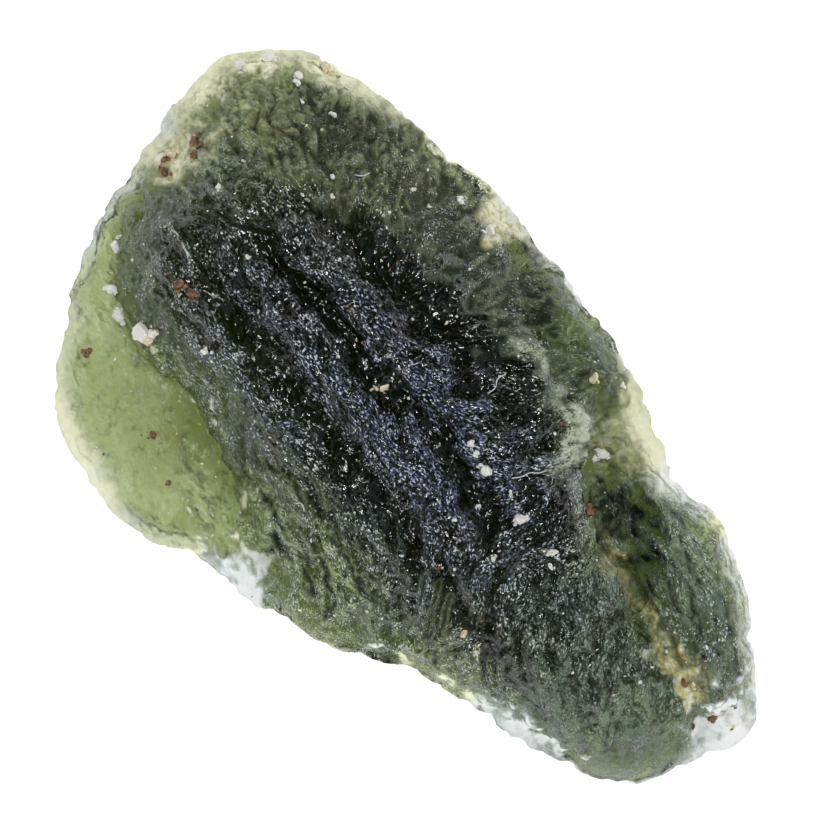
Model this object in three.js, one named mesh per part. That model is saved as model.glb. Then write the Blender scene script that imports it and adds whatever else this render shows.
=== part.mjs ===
// A raw moldavite: one natural piece of green impact glass, 24 mm long, as it was picked from the sand.
//
// Frame: millimetres, +Z up. The stone lies flat on its worn underside. +X runs along its length, from the
// broad end to the narrow one. The origin is under the middle of the stone, on the surface that it rests on.
//
// The stone is a ball whose points are moved. Each point keeps its direction from the heart, is moved out to
// the rim's shape, and then takes the height of the top or of the underside at that place. Both heights start
// from a thin border at the rim. Masses stand on that border, and hollows are pressed into it.
import * as THREE from "three";
import { mergeVertices } from "three/addons/utils/BufferGeometryUtils.js";

// ---- Driving dimensions ----
const LENGTH = 24.0;
const WIDTH = 14.03;
const THICKNESS = 6.2;
const BALL_DETAIL = 20; // each of the ball's 20 faces is cut into (BALL_DETAIL + 1)² triangles
const RIM_SAMPLES = 720; // directions that the rim's curve is measured in
const EDGE_ROUNDING = 0.5; // how far in from the rim the edge rounds over
const TOP_BORDER = 0.45; // how far the border stands above the rim line
const UNDER_BORDER = 0.42; // and how far it hangs below
const LEAST_GLASS = 0.15; // what a hollow always leaves between the rim line and the surface
const GLASS_COLOUR = "#3c4a30";

const BACK_DOME = { at: [-0.8, 1.2], size: [11.6, 5.9], turn: -3, height: 2.3 };
const BELLY = { at: [-0.6, 1.0], size: [11.6, 6.0], turn: -3, height: 1.5 };

// The rim line isn't level. It lifts and drops by a little around these places.
const RIM_LEVEL = 1.7;
const RIM_LIFTS = [
  { at: [4.0, -3.6], reach: 3.2, lift: 1.1 },
  { at: [8.6, 4.6], reach: 3.0, lift: 0.5 },
  { at: [-6.0, -5.6], reach: 2.6, lift: -0.15 },
  { at: [-11.2, 2.0], reach: 2.5, lift: 0.35 },
];

// The broad unevenness of a weathered surface: waves of [length, direction in degrees, start, height].
const WAVES = [
  [3.6, 55, 0.3, 0.07],
  [2.7, -20, 1.9, 0.06],
  [1.9, 78, 4.1, 0.04],
  [1.5, 28, 2.6, 0.03],
];

// ---- The rim, anticlockwise from the broad end, seen from above ----
const RIM = [
  [-11.97, 3.3],
  [-11.9, 2.0],
  [-11.55, 1.0],
  [-11.3, 0.1],
  [-11.05, -0.9],
  [-10.6, -2.2],
  [-10.15, -3.1],
  [-9.8, -3.8],
  [-9.15, -4.7],
  [-8.3, -5.55],
  [-7.5, -6.35],
  [-6.5, -6.75],
  [-5.0, -6.95],
  [-3.6, -7.0],
  [-2.8, -6.75],
  [-2.0, -6.1],
  [-1.4, -5.8],
  [-0.5, -5.77],
  [0.25, -5.68],
  [1.0, -5.15],
  [2.0, -4.9],
  [2.7, -4.65],
  [3.15, -4.15],
  [3.85, -3.85],
  [4.4, -3.35],
  [5.4, -3.0],
  [6.8, -2.65],
  [8.3, -2.35],
  [8.95, -1.9],
  [9.9, -1.55],
  [10.7, -0.95],
  [11.25, -0.3],
  [11.4, 0.6],
  [11.75, 1.6],
  [12.0, 2.85],
  [11.0, 3.55],
  [10.0, 4.25],
  [8.9, 5.05],
  [8.0, 5.35],
  [7.2, 5.7],
  [6.5, 5.87],
  [5.8, 5.7],
  [5.1, 5.57],
  [4.4, 5.88],
  [3.6, 6.1],
  [2.8, 6.45],
  [1.9, 6.68],
  [0.9, 6.8],
  [-0.2, 6.82],
  [-1.5, 6.95],
  [-2.3, 6.8],
  [-3.2, 7.0],
  [-4.6, 6.9],
  [-5.7, 6.52],
  [-7.0, 6.42],
  [-8.2, 6.35],
  [-9.1, 5.95],
  [-10.2, 5.65],
  [-10.95, 5.15],
  [-11.15, 4.6],
  [-11.7, 4.05],
];

// ---- What stands on the border. A foot's points are [x, y, width of the slope that rises from there]. ----
const BACK = {
  height: 1.7,
  foot: [
    [-11.5, 2.6, 3.4],
    [-10.9, 0.2, 3.2],
    [-10.2, -1.6, 2.4],
    [-9.0, -2.9, 1.8],
    [-7.2, -3.3, 1.3],
    [-5.2, -3.0, 1.3],
    [-3.2, -3.4, 1.6],
    [-1.4, -4.3, 2.6],
    [0.6, -5.1, 3.6],
    [2.4, -4.6, 3.6],
    [4.0, -3.6, 3.3],
    [6.4, -2.6, 3.0],
    [8.6, -2.0, 2.6],
    [10.6, -0.9, 2.2],
    [11.1, 0.4, 1.8],
    [10.2, 1.6, 1.2],
    [8.6, 2.2, 1.0],
    [7.0, 2.75, 1.0],
    [5.6, 3.1, 0.9],
    [4.3, 2.95, 0.8],
    [3.5, 3.5, 0.8],
    [3.0, 4.2, 0.8],
    [2.3, 4.85, 0.8],
    [1.2, 4.8, 0.8],
    [0.2, 5.0, 0.8],
    [-1.0, 5.6, 1.6],
    [-3.0, 6.5, 2.6],
    [-6.0, 6.3, 3.0],
    [-8.6, 6.0, 3.0],
    [-10.8, 4.7, 3.2],
  ],
};
const SHELF = {
  height: 1.0,
  foot: [
    [-2.6, 4.0, 1.0],
    [1.2, 4.0, 1.0],
    [2.6, 4.8, 0.7],
    [2.7, 5.9, 0.8],
    [1.4, 6.6, 1.0],
    [-1.6, 6.7, 1.0],
  ],
};
const SMALLER_MASS = {
  height: 1.75,
  foot: [
    [4.0, 4.35, 0.8],
    [5.1, 4.15, 0.8],
    [6.0, 3.7, 0.8],
    [6.6, 2.4, 0.8],
    [8.0, 1.0, 0.8],
    [10.6, 0.8, 0.9],
    [11.5, 2.9, 1.2],
    [10.3, 3.95, 1.6],
    [8.7, 5.05, 1.8],
    [6.6, 5.7, 1.8],
    [5.0, 5.4, 1.2],
    [4.1, 5.0, 0.8],
  ],
};

// ---- Hollows: an ellipse pressed into one side. turn is in degrees, from +X towards +Y. ----
const TOP_HOLLOWS = [
  { at: [4.9, 3.55], size: [1.4, 0.9], turn: 0, depth: 1.2 }, // the pit under the lip
  { at: [3.4, 4.6], size: [0.9, 0.7], turn: -50, depth: 0.5 }, // the trough that runs into it
  { at: [11.1, 2.2], size: [1.3, 1.0], turn: 70, depth: 1.3 }, // the chip at the narrow end
  { at: [8.2, 2.55], size: [3.0, 0.6], turn: -14, depth: 0.5 }, // the fissure
  { at: [7.9, -2.1], size: [1.2, 0.6], turn: 12, depth: 0.5 }, // chips along the lower edge
  { at: [3.9, -3.6], size: [0.9, 0.6], turn: 35, depth: 0.6 },
  { at: [-0.4, -5.1], size: [1.2, 0.7], turn: -8, depth: 0.5 },
  { at: [-10.6, 0.9], size: [1.0, 1.5], turn: 10, depth: 0.5 }, // the weathered broad end
  { at: [-3.0, 3.2], size: [3.4, 0.8], turn: 3, depth: 0.35 }, // furrows along the back
  { at: [0.4, 1.2], size: [4.6, 0.6], turn: 2, depth: 0.35 },
  { at: [-3.0, -1.0], size: [6.0, 0.7], turn: 0, depth: 0.5 },
  { at: [5.0, 0.2], size: [3.6, 0.7], turn: -16, depth: 0.35 },
];
const UNDER_HOLLOWS = [
  { at: [10.9, 2.1], size: [1.4, 1.1], turn: 60, depth: 0.4 },
  { at: [3.6, 5.3], size: [1.9, 0.9], turn: -10, depth: 0.6 },
  { at: [-6.6, 3.4], size: [3.2, 1.1], turn: 20, depth: 0.7 },
  { at: [5.4, -1.6], size: [3.0, 0.9], turn: 22, depth: 0.6 },
  { at: [-8.4, -0.8], size: [1.8, 0.8], turn: -35, depth: 0.5 },
];

// ---- Outlines and ellipses ----
// How far (x, y) lies inside a closed outline, below zero outside it, and the nearest place on the outline:
// side i, and the share of the way along it.
function measureInside(outline, x, y) {
  let nearest = { distance: Infinity };
  let inside = false;
  outline.forEach(([ax, ay], i) => {
    const [bx, by] = outline[(i + 1) % outline.length];
    const [dx, dy] = [bx - ax, by - ay];
    const along = ((x - ax) * dx + (y - ay) * dy) / (dx * dx + dy * dy);
    const share = THREE.MathUtils.clamp(along, 0, 1);
    const distance = Math.hypot(x - ax - share * dx, y - ay - share * dy);
    if (distance < nearest.distance) nearest = { distance, i, share };
    const crosses = ay > y !== by > y && x < ax + ((y - ay) * dx) / dy;
    if (crosses) inside = !inside;
  });
  return { ...nearest, depth: inside ? nearest.distance : -nearest.distance };
}

// How far a mass has risen at (x, y), from 0 outside its foot to 1 at the top of its slope.
function riseAt({ foot }, x, y) {
  const { depth, i, share } = measureInside(foot, x, y);
  const next = foot[(i + 1) % foot.length];
  const slopeWidth = THREE.MathUtils.lerp(foot[i][2], next[2], share);
  const t = THREE.MathUtils.clamp(depth / slopeWidth, 0, 1);
  return t * (2 - t);
}

// 1 at the middle of an ellipse, and 0 at its edge and outside it.
function bulgeAt({ at, size, turn }, x, y) {
  const angle = THREE.MathUtils.degToRad(turn);
  const dx = x - at[0];
  const dy = y - at[1];
  const along = (dx * Math.cos(angle) + dy * Math.sin(angle)) / size[0];
  const across = (dy * Math.cos(angle) - dx * Math.sin(angle)) / size[1];
  return Math.max(0, 1 - along * along - across * across);
}

function hollowsAt(hollows, x, y) {
  const depths = hollows.map((hollow) => hollow.depth * bulgeAt(hollow, x, y) ** 1.5);
  return depths.reduce((sum, depth) => sum + depth, 0);
}

function wavesAt(x, y, side) {
  const heights = WAVES.map(([length, direction, start, height]) => {
    const angle = THREE.MathUtils.degToRad(direction * side);
    const along = x * Math.cos(angle) + y * Math.sin(angle);
    return height * Math.sin((2 * Math.PI * along) / length + start);
  });
  return heights.reduce((sum, height) => sum + height, 0);
}

// ---- Heights ----
function rimHeight(x, y) {
  const lifts = RIM_LIFTS.map(({ at, reach, lift }) => {
    const away = Math.hypot(x - at[0], y - at[1]) / reach;
    return lift * Math.exp(-away * away);
  });
  return lifts.reduce((sum, lift) => sum + lift, RIM_LEVEL);
}

// How much of its full thickness the edge has reached at (x, y), from 0 at the rim line to 1.
function edgeRound(x, y) {
  const depth = Math.max(0, measureInside(RIM, x, y).depth);
  const left = 1 - Math.min(depth / EDGE_ROUNDING, 1);
  return Math.sqrt(1 - left * left);
}

function topHeight(x, y) {
  const masses = [BACK, SHELF, SMALLER_MASS].map((mass) => mass.height * riseAt(mass, x, y));
  const dome = BACK_DOME.height * bulgeAt(BACK_DOME, x, y) * riseAt(BACK, x, y);
  const built = TOP_BORDER + Math.max(...masses) + dome + wavesAt(x, y, 1) - hollowsAt(TOP_HOLLOWS, x, y);
  return rimHeight(x, y) + edgeRound(x, y) * Math.max(built, LEAST_GLASS);
}

// The belly is worn flat where it would reach below the surface that the stone rests on.
function underHeight(x, y) {
  const belly = BELLY.height * bulgeAt(BELLY, x, y) ** 0.8;
  const built = UNDER_BORDER + belly + wavesAt(x, y, -1) - hollowsAt(UNDER_HOLLOWS, x, y);
  return Math.max(0, rimHeight(x, y) - edgeRound(x, y) * Math.max(built, LEAST_GLASS));
}

// ---- The rim's distance from the heart, in RIM_SAMPLES directions ----
function rimReaches() {
  const directions = Array.from({ length: RIM_SAMPLES }, (_, k) => (2 * Math.PI * k) / RIM_SAMPLES);
  return directions.map((direction) => {
    let inside = 0;
    let outside = 20;
    while (outside - inside > 1e-4) {
      const middle = (inside + outside) / 2;
      const { depth } = measureInside(RIM, middle * Math.cos(direction), middle * Math.sin(direction));
      if (depth > 0) inside = middle;
      else outside = middle;
    }
    return inside;
  });
}

// ---- The stone ----
function stoneGeometry() {
  const ball = new THREE.IcosahedronGeometry(1, BALL_DETAIL);
  ball.deleteAttribute("normal");
  ball.deleteAttribute("uv");
  const geometry = mergeVertices(ball);
  const reaches = rimReaches();
  const points = geometry.attributes.position;
  for (let i = 0; i < points.count; i++) {
    const turns = Math.atan2(points.getY(i), points.getX(i)) / (2 * Math.PI);
    const place = THREE.MathUtils.euclideanModulo(turns, 1) * RIM_SAMPLES;
    const k = Math.floor(place);
    const [a, b] = [reaches[k % RIM_SAMPLES], reaches[(k + 1) % RIM_SAMPLES]];
    const reach = THREE.MathUtils.lerp(a, b, place - k);
    const x = points.getX(i) * reach;
    const y = points.getY(i) * reach;
    const height = points.getZ(i) > 0 ? topHeight : underHeight;
    points.setXYZ(i, x, y, height(x, y));
  }
  return geometry;
}

// Brings the stone to its exact length, width and thickness, and sets it down over the origin.
function setDown(geometry) {
  geometry.computeBoundingBox();
  const size = geometry.boundingBox.getSize(new THREE.Vector3());
  const middle = geometry.boundingBox.getCenter(new THREE.Vector3());
  geometry.translate(-middle.x, -middle.y, -geometry.boundingBox.min.z);
  geometry.scale(LENGTH / size.x, WIDTH / size.y, THICKNESS / size.z);
  geometry.computeVertexNormals();
  return geometry;
}

const glass = new THREE.MeshStandardMaterial({ color: GLASS_COLOUR, roughness: 0.35, metalness: 0 });
const stone = new THREE.Mesh(setDown(stoneGeometry()), glass);
stone.name = "moldavite_stone";

const moldavite = new THREE.Group();
moldavite.add(stone);

export default moldavite;
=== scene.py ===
"""A raw moldavite, lying on its worn underside: natural green glass, clear where it is thin.

The stone's shape comes from the frame. Its fine relief is worked out here: landforms that are drawn as
strokes, and a grain that runs along a flow, as acid soil etches it into the glass. The soil's stains and
crust are films on the glass. Other films paint light: glints, a blue sheen on the crests, shade in the
hollows and cracks, and the glow of the thin rim, lit through from the ground. The sand, the rusty grit and
the lint that lie on it are modelled one by one.

Places on the stone are in millimetres, in the frame's own axes: +X along its length, +Z up.
"""

from __future__ import annotations

import logging
import math
from dataclasses import dataclass, field, replace
from enum import Enum, IntEnum

import bpy
import numpy as np
from mathutils import Matrix, Vector
from mathutils.bvhtree import BVHTree


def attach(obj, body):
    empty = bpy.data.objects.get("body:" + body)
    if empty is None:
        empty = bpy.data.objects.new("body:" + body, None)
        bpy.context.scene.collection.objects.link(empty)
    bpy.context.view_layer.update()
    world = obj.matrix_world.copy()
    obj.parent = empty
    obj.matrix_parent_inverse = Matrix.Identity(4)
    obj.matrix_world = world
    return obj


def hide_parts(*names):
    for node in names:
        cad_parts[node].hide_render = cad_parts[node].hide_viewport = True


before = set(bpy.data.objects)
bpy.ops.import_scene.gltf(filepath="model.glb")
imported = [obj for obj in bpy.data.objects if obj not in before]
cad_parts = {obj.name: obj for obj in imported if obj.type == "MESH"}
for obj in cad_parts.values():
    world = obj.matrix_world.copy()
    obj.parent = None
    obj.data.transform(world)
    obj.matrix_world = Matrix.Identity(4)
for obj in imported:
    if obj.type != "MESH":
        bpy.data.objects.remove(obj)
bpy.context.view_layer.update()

MM = 0.001
NODE = "moldavite_stone"
BODY = "root"

log = logging.getLogger("moldavite")

Place = tuple[float, float]
Point = tuple[float, float, float]
Colour = tuple[float, float, float]
Direction = tuple[np.ndarray, np.ndarray]


# ---------------------------------------------------------------- shader nodes


class Wire:
    """One number or colour inside a material, with Python's operators."""

    def __init__(self, nodes: Nodes, socket: bpy.types.NodeSocket) -> None:
        """Wraps a socket.

        Args:
            nodes: the material's nodes, which the operators add to.
            socket: the output that carries the number.
        """
        self.nodes = nodes
        self.socket = socket

    def _math(self, operation: str, *values: Wire | float) -> Wire:
        """Adds a Math node.

        Args:
            operation: the Math node's operation.
            values: what goes into it, in order.

        Returns:
            The node's result.
        """
        inputs = dict(enumerate(values))
        return self.nodes.add("ShaderNodeMath", {"operation": operation}, inputs).wire(0)

    def __add__(self, other: Wire | float) -> Wire:
        """Adds two numbers."""
        return self._math("ADD", self, other)

    def __radd__(self, other: float) -> Wire:
        """Adds two numbers, the plain one first."""
        return self._math("ADD", other, self)

    def __sub__(self, other: Wire | float) -> Wire:
        """Takes a number from this one."""
        return self._math("SUBTRACT", self, other)

    def __rsub__(self, other: float) -> Wire:
        """Takes this number from a plain one."""
        return self._math("SUBTRACT", other, self)

    def __mul__(self, other: Wire | float) -> Wire:
        """Multiplies two numbers."""
        return self._math("MULTIPLY", self, other)

    def __rmul__(self, other: float) -> Wire:
        """Multiplies two numbers, the plain one first."""
        return self._math("MULTIPLY", other, self)

    def __pow__(self, power: float) -> Wire:
        """Raises this number to a power."""
        return self._math("POWER", self, power)

    def above(self, floor: float) -> Wire:
        """This number, or the floor where it is lower."""
        return self._math("MAXIMUM", self, floor)

    def rise(self, low: float, high: float) -> Wire:
        """Turns a range into 0 to 1, with soft ends.

        Args:
            low: what becomes 0.
            high: what becomes 1.

        Returns:
            The number between 0 and 1.
        """
        settings = {"interpolation_type": "SMOOTHSTEP", "clamp": True}
        inputs = {"Value": self, "From Min": low, "From Max": high}
        return self.nodes.add("ShaderNodeMapRange", settings, inputs).wire("Result")


class Added:
    """A node that has just been added, and its outputs."""

    def __init__(self, nodes: Nodes, node: bpy.types.Node) -> None:
        """Keeps the node with the tree that it is in."""
        self.nodes = nodes
        self.node = node

    def wire(self, output: str | int) -> Wire:
        """One output of the node, by its name or number."""
        return Wire(self.nodes, self.node.outputs[output])


class Nodes:
    """The nodes of one material or world."""

    def __init__(self, owner: bpy.types.Material | bpy.types.World) -> None:
        """Empties the owner's node tree.

        Args:
            owner: the material or world to work in.
        """
        owner.use_nodes = True
        self.tree = owner.node_tree
        self.tree.nodes.clear()

    def add(self, kind: str, settings: dict | None = None, inputs: dict | None = None) -> Added:
        """Adds a node, sets it, and fills its sockets.

        Args:
            kind: the node's type.
            settings: the node's own settings, by name.
            inputs: what goes into its sockets, by name or number: wires or plain values.

        Returns:
            The node.
        """
        node = self.tree.nodes.new(kind)
        for name, value in (settings or {}).items():
            setattr(node, name, value)
        for name, value in (inputs or {}).items():
            if isinstance(value, Wire):
                self.tree.links.new(value.socket, node.inputs[name])
            else:
                node.inputs[name].default_value = value
        return Added(self, node)

    def colour(self, rgb: Colour) -> tuple[float, float, float, float]:
        """A colour with the full opacity that colour sockets ask for."""
        return (*rgb, 1.0)

    def blend(self, share: Wire, first: Wire | Colour, second: Wire | Colour) -> Wire:
        """Mixes two colours.

        Args:
            share: how much of the second colour shows, from 0 to 1.
            first: the colour at 0.
            second: the colour at 1.

        Returns:
            The mixed colour.
        """
        pair = [c if isinstance(c, Wire) else self.colour(c) for c in (first, second)]
        node = self.add("ShaderNodeMix", {"data_type": "RGBA"}).node
        self._fill(node.inputs[0], share)
        self._fill(node.inputs[6], pair[0])
        self._fill(node.inputs[7], pair[1])
        return Wire(self, node.outputs[2])

    def _fill(self, socket: bpy.types.NodeSocket, value: object) -> None:
        """Links a wire to a socket, or sets a plain value."""
        if isinstance(value, Wire):
            self.tree.links.new(value.socket, socket)
        else:
            socket.default_value = value

    def place(self) -> Wire:
        """The place on the piece, in metres."""
        return self.add("ShaderNodeTexCoord").wire("Object")

    def attribute(self, name: str) -> Added:
        """A number or vector that the mesh holds at each of its points."""
        return self.add("ShaderNodeAttribute", {"attribute_name": name})

    def noise(self, vector: Wire, size_mm: float, detail: float = 2.0, roughness: float = 0.5) -> Wire:
        """A cloudy pattern.

        Args:
            vector: the place that it is read at, in metres.
            size_mm: how large its clouds are.
            detail: how many finer patterns are added.
            roughness: how strong the finer ones are.

        Returns:
            The pattern, from 0 to 1.
        """
        inputs = {"Vector": vector, "Scale": 1.0 / (size_mm * MM), "Detail": detail, "Roughness": roughness}
        return self.add("ShaderNodeTexNoise", None, inputs).wire("Fac")

    def turned(self, vector: Wire, degrees: float, stretch: float) -> Wire:
        """Turns a place about Z and squeezes it along the new X, so that a pattern read there is drawn out.

        Args:
            vector: the place.
            degrees: the direction that the pattern is drawn out in.
            stretch: how many times longer than wide it gets.

        Returns:
            The changed place.
        """
        settings = {"rotation_type": "Z_AXIS"}
        inputs = {"Vector": vector, "Angle": -math.radians(degrees)}
        turned = self.add("ShaderNodeVectorRotate", settings, inputs).wire("Vector")
        squeeze = (1.0 / stretch, 1.0, 1.0)
        return self.add("ShaderNodeVectorMath", {"operation": "MULTIPLY"}, {0: turned, 1: squeeze}).wire(0)

    def bump(self, height: Wire, depth_mm: float, strength: float = 1.0) -> Wire:
        """Turns a height pattern into a surface direction.

        Args:
            height: the pattern.
            depth_mm: how deep it goes from 0 to 1.
            strength: how much of it shows.

        Returns:
            The direction, for a Normal socket.
        """
        inputs = {"Height": height, "Distance": depth_mm * MM, "Strength": strength}
        return self.add("ShaderNodeBump", None, inputs).wire("Normal")


# ---------------------------------------------------------------- finishes


@dataclass(frozen=True)
class EtchedGlass:
    """Moldavite: clear green glass with an etched, frosted skin and films of soil minerals on it.

    The mesh holds how strong each kind of film is. Thin kinds let the glass show between their specks, and
    thick ones cover it. Some kinds are painted light: glints, a blue sheen, shade in pits, hollows and
    cracks, and highlights and the glow of the thin rim in white.
    """

    ior: float = 1.49
    absorbed_per_mm: Colour = (1.16, 1.00, 1.95)
    skin: Colour = (0.96, 0.98, 0.93)
    slate: Colour = (0.165, 0.212, 0.150)
    olive: Colour = (0.17, 0.20, 0.070)
    moss: Colour = (0.40, 0.49, 0.21)
    # Painted blue sheen: the reflection of the cool overhead light, painted on the crests.
    blue_sheen: Colour = (0.18, 0.21, 0.34)
    # Soil stains and painted shade: dark in pits, hollows and cracks.
    stain_and_shade: Colour = (0.022, 0.030, 0.014)
    pale: Colour = (0.50, 0.53, 0.38)
    tan: Colour = (0.60, 0.55, 0.23)
    brown: Colour = (0.26, 0.215, 0.07)
    cream: Colour = (0.92, 0.88, 0.68)
    # White paints highlights and the glow of the thin rim; the yellowish colour below is that glow where the
    # film is warm.
    white: Colour = (0.98, 1.0, 0.96)
    rim_glow: Colour = (1.0, 1.0, 0.70)
    # Painted glints: bright flecks that stand in for glass catching the lamps.
    glint_colour: Colour = (0.80, 0.84, 0.90)
    thin_kinds: tuple[str, ...] = ("frost", "glint", "warm", "blue_sheen", "pale", "soft")
    thick_kinds: tuple[str, ...] = ("stain_and_shade", "tan", "cream", "white")
    gloss: tuple[float, float] = (0.10, 0.20)
    soft_gloss: float = 0.35
    film_gloss: float = 0.10
    film_roughness: float = 0.5
    mottle_mm: float = 0.22
    blotch_mm: float = 0.35
    swarm_mm: float = 0.5
    cloud_mm: float = 0.6
    speck_mm: float = 0.05
    speck_stretch: float = 1.9
    grain_mm: float = 0.15
    grain_stretch: float = 1.8
    grain_depth_mm: float = 0.07

    def build(self) -> bpy.types.Material:
        """Makes the material.

        Returns:
            The material. It reads the attributes that the stone's mesh holds: the flow, and its own kinds.
        """
        material = bpy.data.materials.new("etched_moldavite_glass")
        n = Nodes(material)
        place = n.place()
        grain = self._along_flow(n, place, self.grain_mm, self.grain_stretch)
        specks = self._along_flow(n, place, self.speck_mm, self.speck_stretch)
        mottle = n.noise(place, self.mottle_mm, 3.0, 0.6).rise(0.38, 0.6)
        kinds = {name: n.attribute(name).wire("Fac") for name in self.thin_kinds + self.thick_kinds}
        uneven = (mottle * 0.6 - 0.15) * (1.0 - kinds["soft"])
        kinds["white"] = (kinds["white"] * (uneven + 1.0)).rise(0.0, 1.0)
        # Painted glints: bright flecks in clusters, where the glint attribute asks for them.
        swarm = n.noise(place, self.swarm_mm, 3.0, 0.6).rise(0.36, 0.62) * 0.85 + 0.15
        painted_glint = specks.rise(0.56, 0.68) * swarm * kinds["glint"]
        normal = n.bump(grain, self.grain_depth_mm)
        glass = self._glass(n, place, kinds, normal)
        film = self._film(n, self._colour(n, kinds, mottle, painted_glint), normal)
        cover = self._cover(n, place, kinds, specks, grain) + painted_glint
        for name in self.thick_kinds:
            cover = cover + kinds[name]
        surface = n.add("ShaderNodeMixShader", None, {0: cover.rise(0.0, 1.0), 1: glass, 2: film}).wire(0)
        out = n.add("ShaderNodeOutputMaterial", None, {"Surface": surface})
        n.tree.links.new(self._volume(n).socket, out.node.inputs["Volume"])
        return material

    def _glass(self, n: Nodes, place: Wire, kinds: dict[str, Wire], normal: Wire) -> Wire:
        """The clear glass, a little duller where it is soft.

        Args:
            n: the material's nodes.
            place: the place on the stone.
            kinds: the strength of each film.
            normal: the surface direction.

        Returns:
            The shader.
        """
        cloud = n.noise(place, self.cloud_mm, 3.0, 0.55).rise(0.35, 0.65)
        roughness = cloud * (self.gloss[1] - self.gloss[0]) + self.gloss[0] + kinds["soft"] * self.soft_gloss
        inputs = {
            "Base Color": n.colour(self.skin),
            "Roughness": roughness,
            "IOR": self.ior,
            "Transmission Weight": 1.0,
            "Normal": normal,
        }
        return n.add("ShaderNodeBsdfPrincipled", None, inputs).wire(0)

    def _film(self, n: Nodes, colour: Wire, normal: Wire) -> Wire:
        """The opaque film, in a colour that the caller works out.

        Args:
            n: the material's nodes.
            colour: the film's colour.
            normal: the surface direction.

        Returns:
            The shader.
        """
        inputs = {
            "Base Color": colour,
            "Roughness": self.film_roughness,
            "IOR": self.ior,
            "Specular IOR Level": self.film_gloss,
            "Normal": normal,
        }
        return n.add("ShaderNodeBsdfPrincipled", None, inputs).wire(0)

    def _colour(self, n: Nodes, kinds: dict[str, Wire], mottle: Wire, painted_glint: Wire) -> Wire:
        """Lays the films' colours over one another.

        Args:
            n: the material's nodes.
            kinds: the strength of each film.
            mottle: the pattern that two-coloured films are mottled by.
            painted_glint: where a painted glint lies.

        Returns:
            The colour.
        """
        # How far the painted white turns yellowish, where the film is warm.
        yellow_share = kinds["warm"].rise(0.45, 0.85)
        layers = (
            ((kinds["blue_sheen"] * 3.0).rise(0.0, 1.0), self.blue_sheen),
            (kinds["pale"], self.pale),
            (kinds["stain_and_shade"], self.stain_and_shade),
            (kinds["tan"], n.blend(mottle, self.brown, self.tan)),
            (kinds["cream"], n.blend(mottle, self.tan, self.cream)),
            (kinds["white"], n.blend(yellow_share, self.white, self.rim_glow)),
            (painted_glint, self.glint_colour),
        )
        colour = n.blend(kinds["warm"], self.slate, n.blend(mottle, self.olive, self.moss))
        for share, layer in layers:
            colour = n.blend(share, colour, layer)
        return colour

    def _cover(self, n: Nodes, place: Wire, kinds: dict[str, Wire], specks: Wire, grain: Wire) -> Wire:
        """How much of the glass the thin films hide.

        Args:
            n: the material's nodes.
            place: the place on the stone.
            kinds: the strength of each film.
            specks: the finest pattern, which breaks the films up.
            grain: the surface's grain.

        Returns:
            The cover, which may pass 1.
        """
        crisp = specks.rise(0.36, 0.62) * 1.05 + grain.rise(0.3, 0.6) * 0.3
        blotchy = n.noise(place, self.blotch_mm, 2.0, 0.5).rise(0.35, 0.65) * 1.2
        broken = crisp * (1.0 - kinds["soft"]) + blotchy * kinds["soft"] + 0.3
        # The painted blue sheen, broken into specks.
        speckled = kinds["blue_sheen"] * (specks.rise(0.40, 0.60) * 1.6 + 0.15)
        return (kinds["frost"] + kinds["pale"]) * broken + speckled

    def _volume(self, n: Nodes) -> Wire:
        """The green that builds up with depth: plain absorption, the same all through.

        Args:
            n: the material's nodes.

        Returns:
            The volume's output.
        """
        strongest = max(self.absorbed_per_mm) * 1.03
        colour = tuple(1.0 - a / strongest for a in self.absorbed_per_mm)
        inputs = {"Color": n.colour(colour), "Density": strongest / MM}
        return n.add("ShaderNodeVolumeAbsorption", None, inputs).wire(0)

    def _along_flow(self, n: Nodes, place: Wire, size_mm: float, stretch: float) -> Wire:
        """A cloudy pattern that is drawn out along the stone's flow.

        Args:
            n: the material's nodes.
            place: the place on the stone.
            size_mm: how wide its clouds are.
            stretch: how many times longer than wide they are.

        Returns:
            The pattern, from 0 to 1.
        """
        split = n.add("ShaderNodeSeparateXYZ", None, {0: n.attribute("flow").wire("Vector")})
        cosine, sine = split.wire("X"), split.wire("Y")
        shares = {0: cosine, 45: sine, 90: cosine * -1.0, 135: sine * -1.0}
        total = None
        for degrees, share in shares.items():
            weight = share.above(0.0) ** 2.0
            grain = weight * n.noise(n.turned(place, degrees, stretch), size_mm, 0.8, 0.5)
            total = grain if total is None else total + grain
        return total


@dataclass(frozen=True)
class Grit:
    """The finish of loose grains: sand, rust or dust."""

    name: str
    light: Colour
    dark: Colour
    patch_mm: float = 0.12
    roughness: float = 0.45
    clear: float = 0.0

    def build(self) -> bpy.types.Material:
        """Makes the material.

        Returns:
            The material.
        """
        material = bpy.data.materials.new(self.name)
        n = Nodes(material)
        place = n.place()
        patches = n.noise(place, self.patch_mm, 3.0, 0.6)
        pits = n.noise(place, self.patch_mm / 4.0, 2.0, 0.6)
        shader = n.add(
            "ShaderNodeBsdfPrincipled",
            None,
            {
                "Base Color": n.blend(patches.rise(0.35, 0.65), self.dark, self.light),
                "Roughness": pits * 0.3 + (self.roughness - 0.15),
                "Transmission Weight": self.clear,
                "Normal": n.bump(pits, 0.01),
            },
        ).wire(0)
        n.add("ShaderNodeOutputMaterial", None, {"Surface": shader})
        return material


QUARTZ = Grit("quartz_sand", light=(1.0, 0.98, 0.90), dark=(0.90, 0.88, 0.80), clear=0.1)
CREAM = Grit("cream_feldspar", light=(0.88, 0.80, 0.60), dark=(0.62, 0.50, 0.30))
RUST = Grit("rusty_grit", light=(0.33, 0.17, 0.08), dark=(0.10, 0.045, 0.03), roughness=0.6)
LINT = Grit("pale_lint", light=(0.80, 0.79, 0.77), dark=(0.55, 0.54, 0.55), patch_mm=0.3, roughness=0.5)


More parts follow.
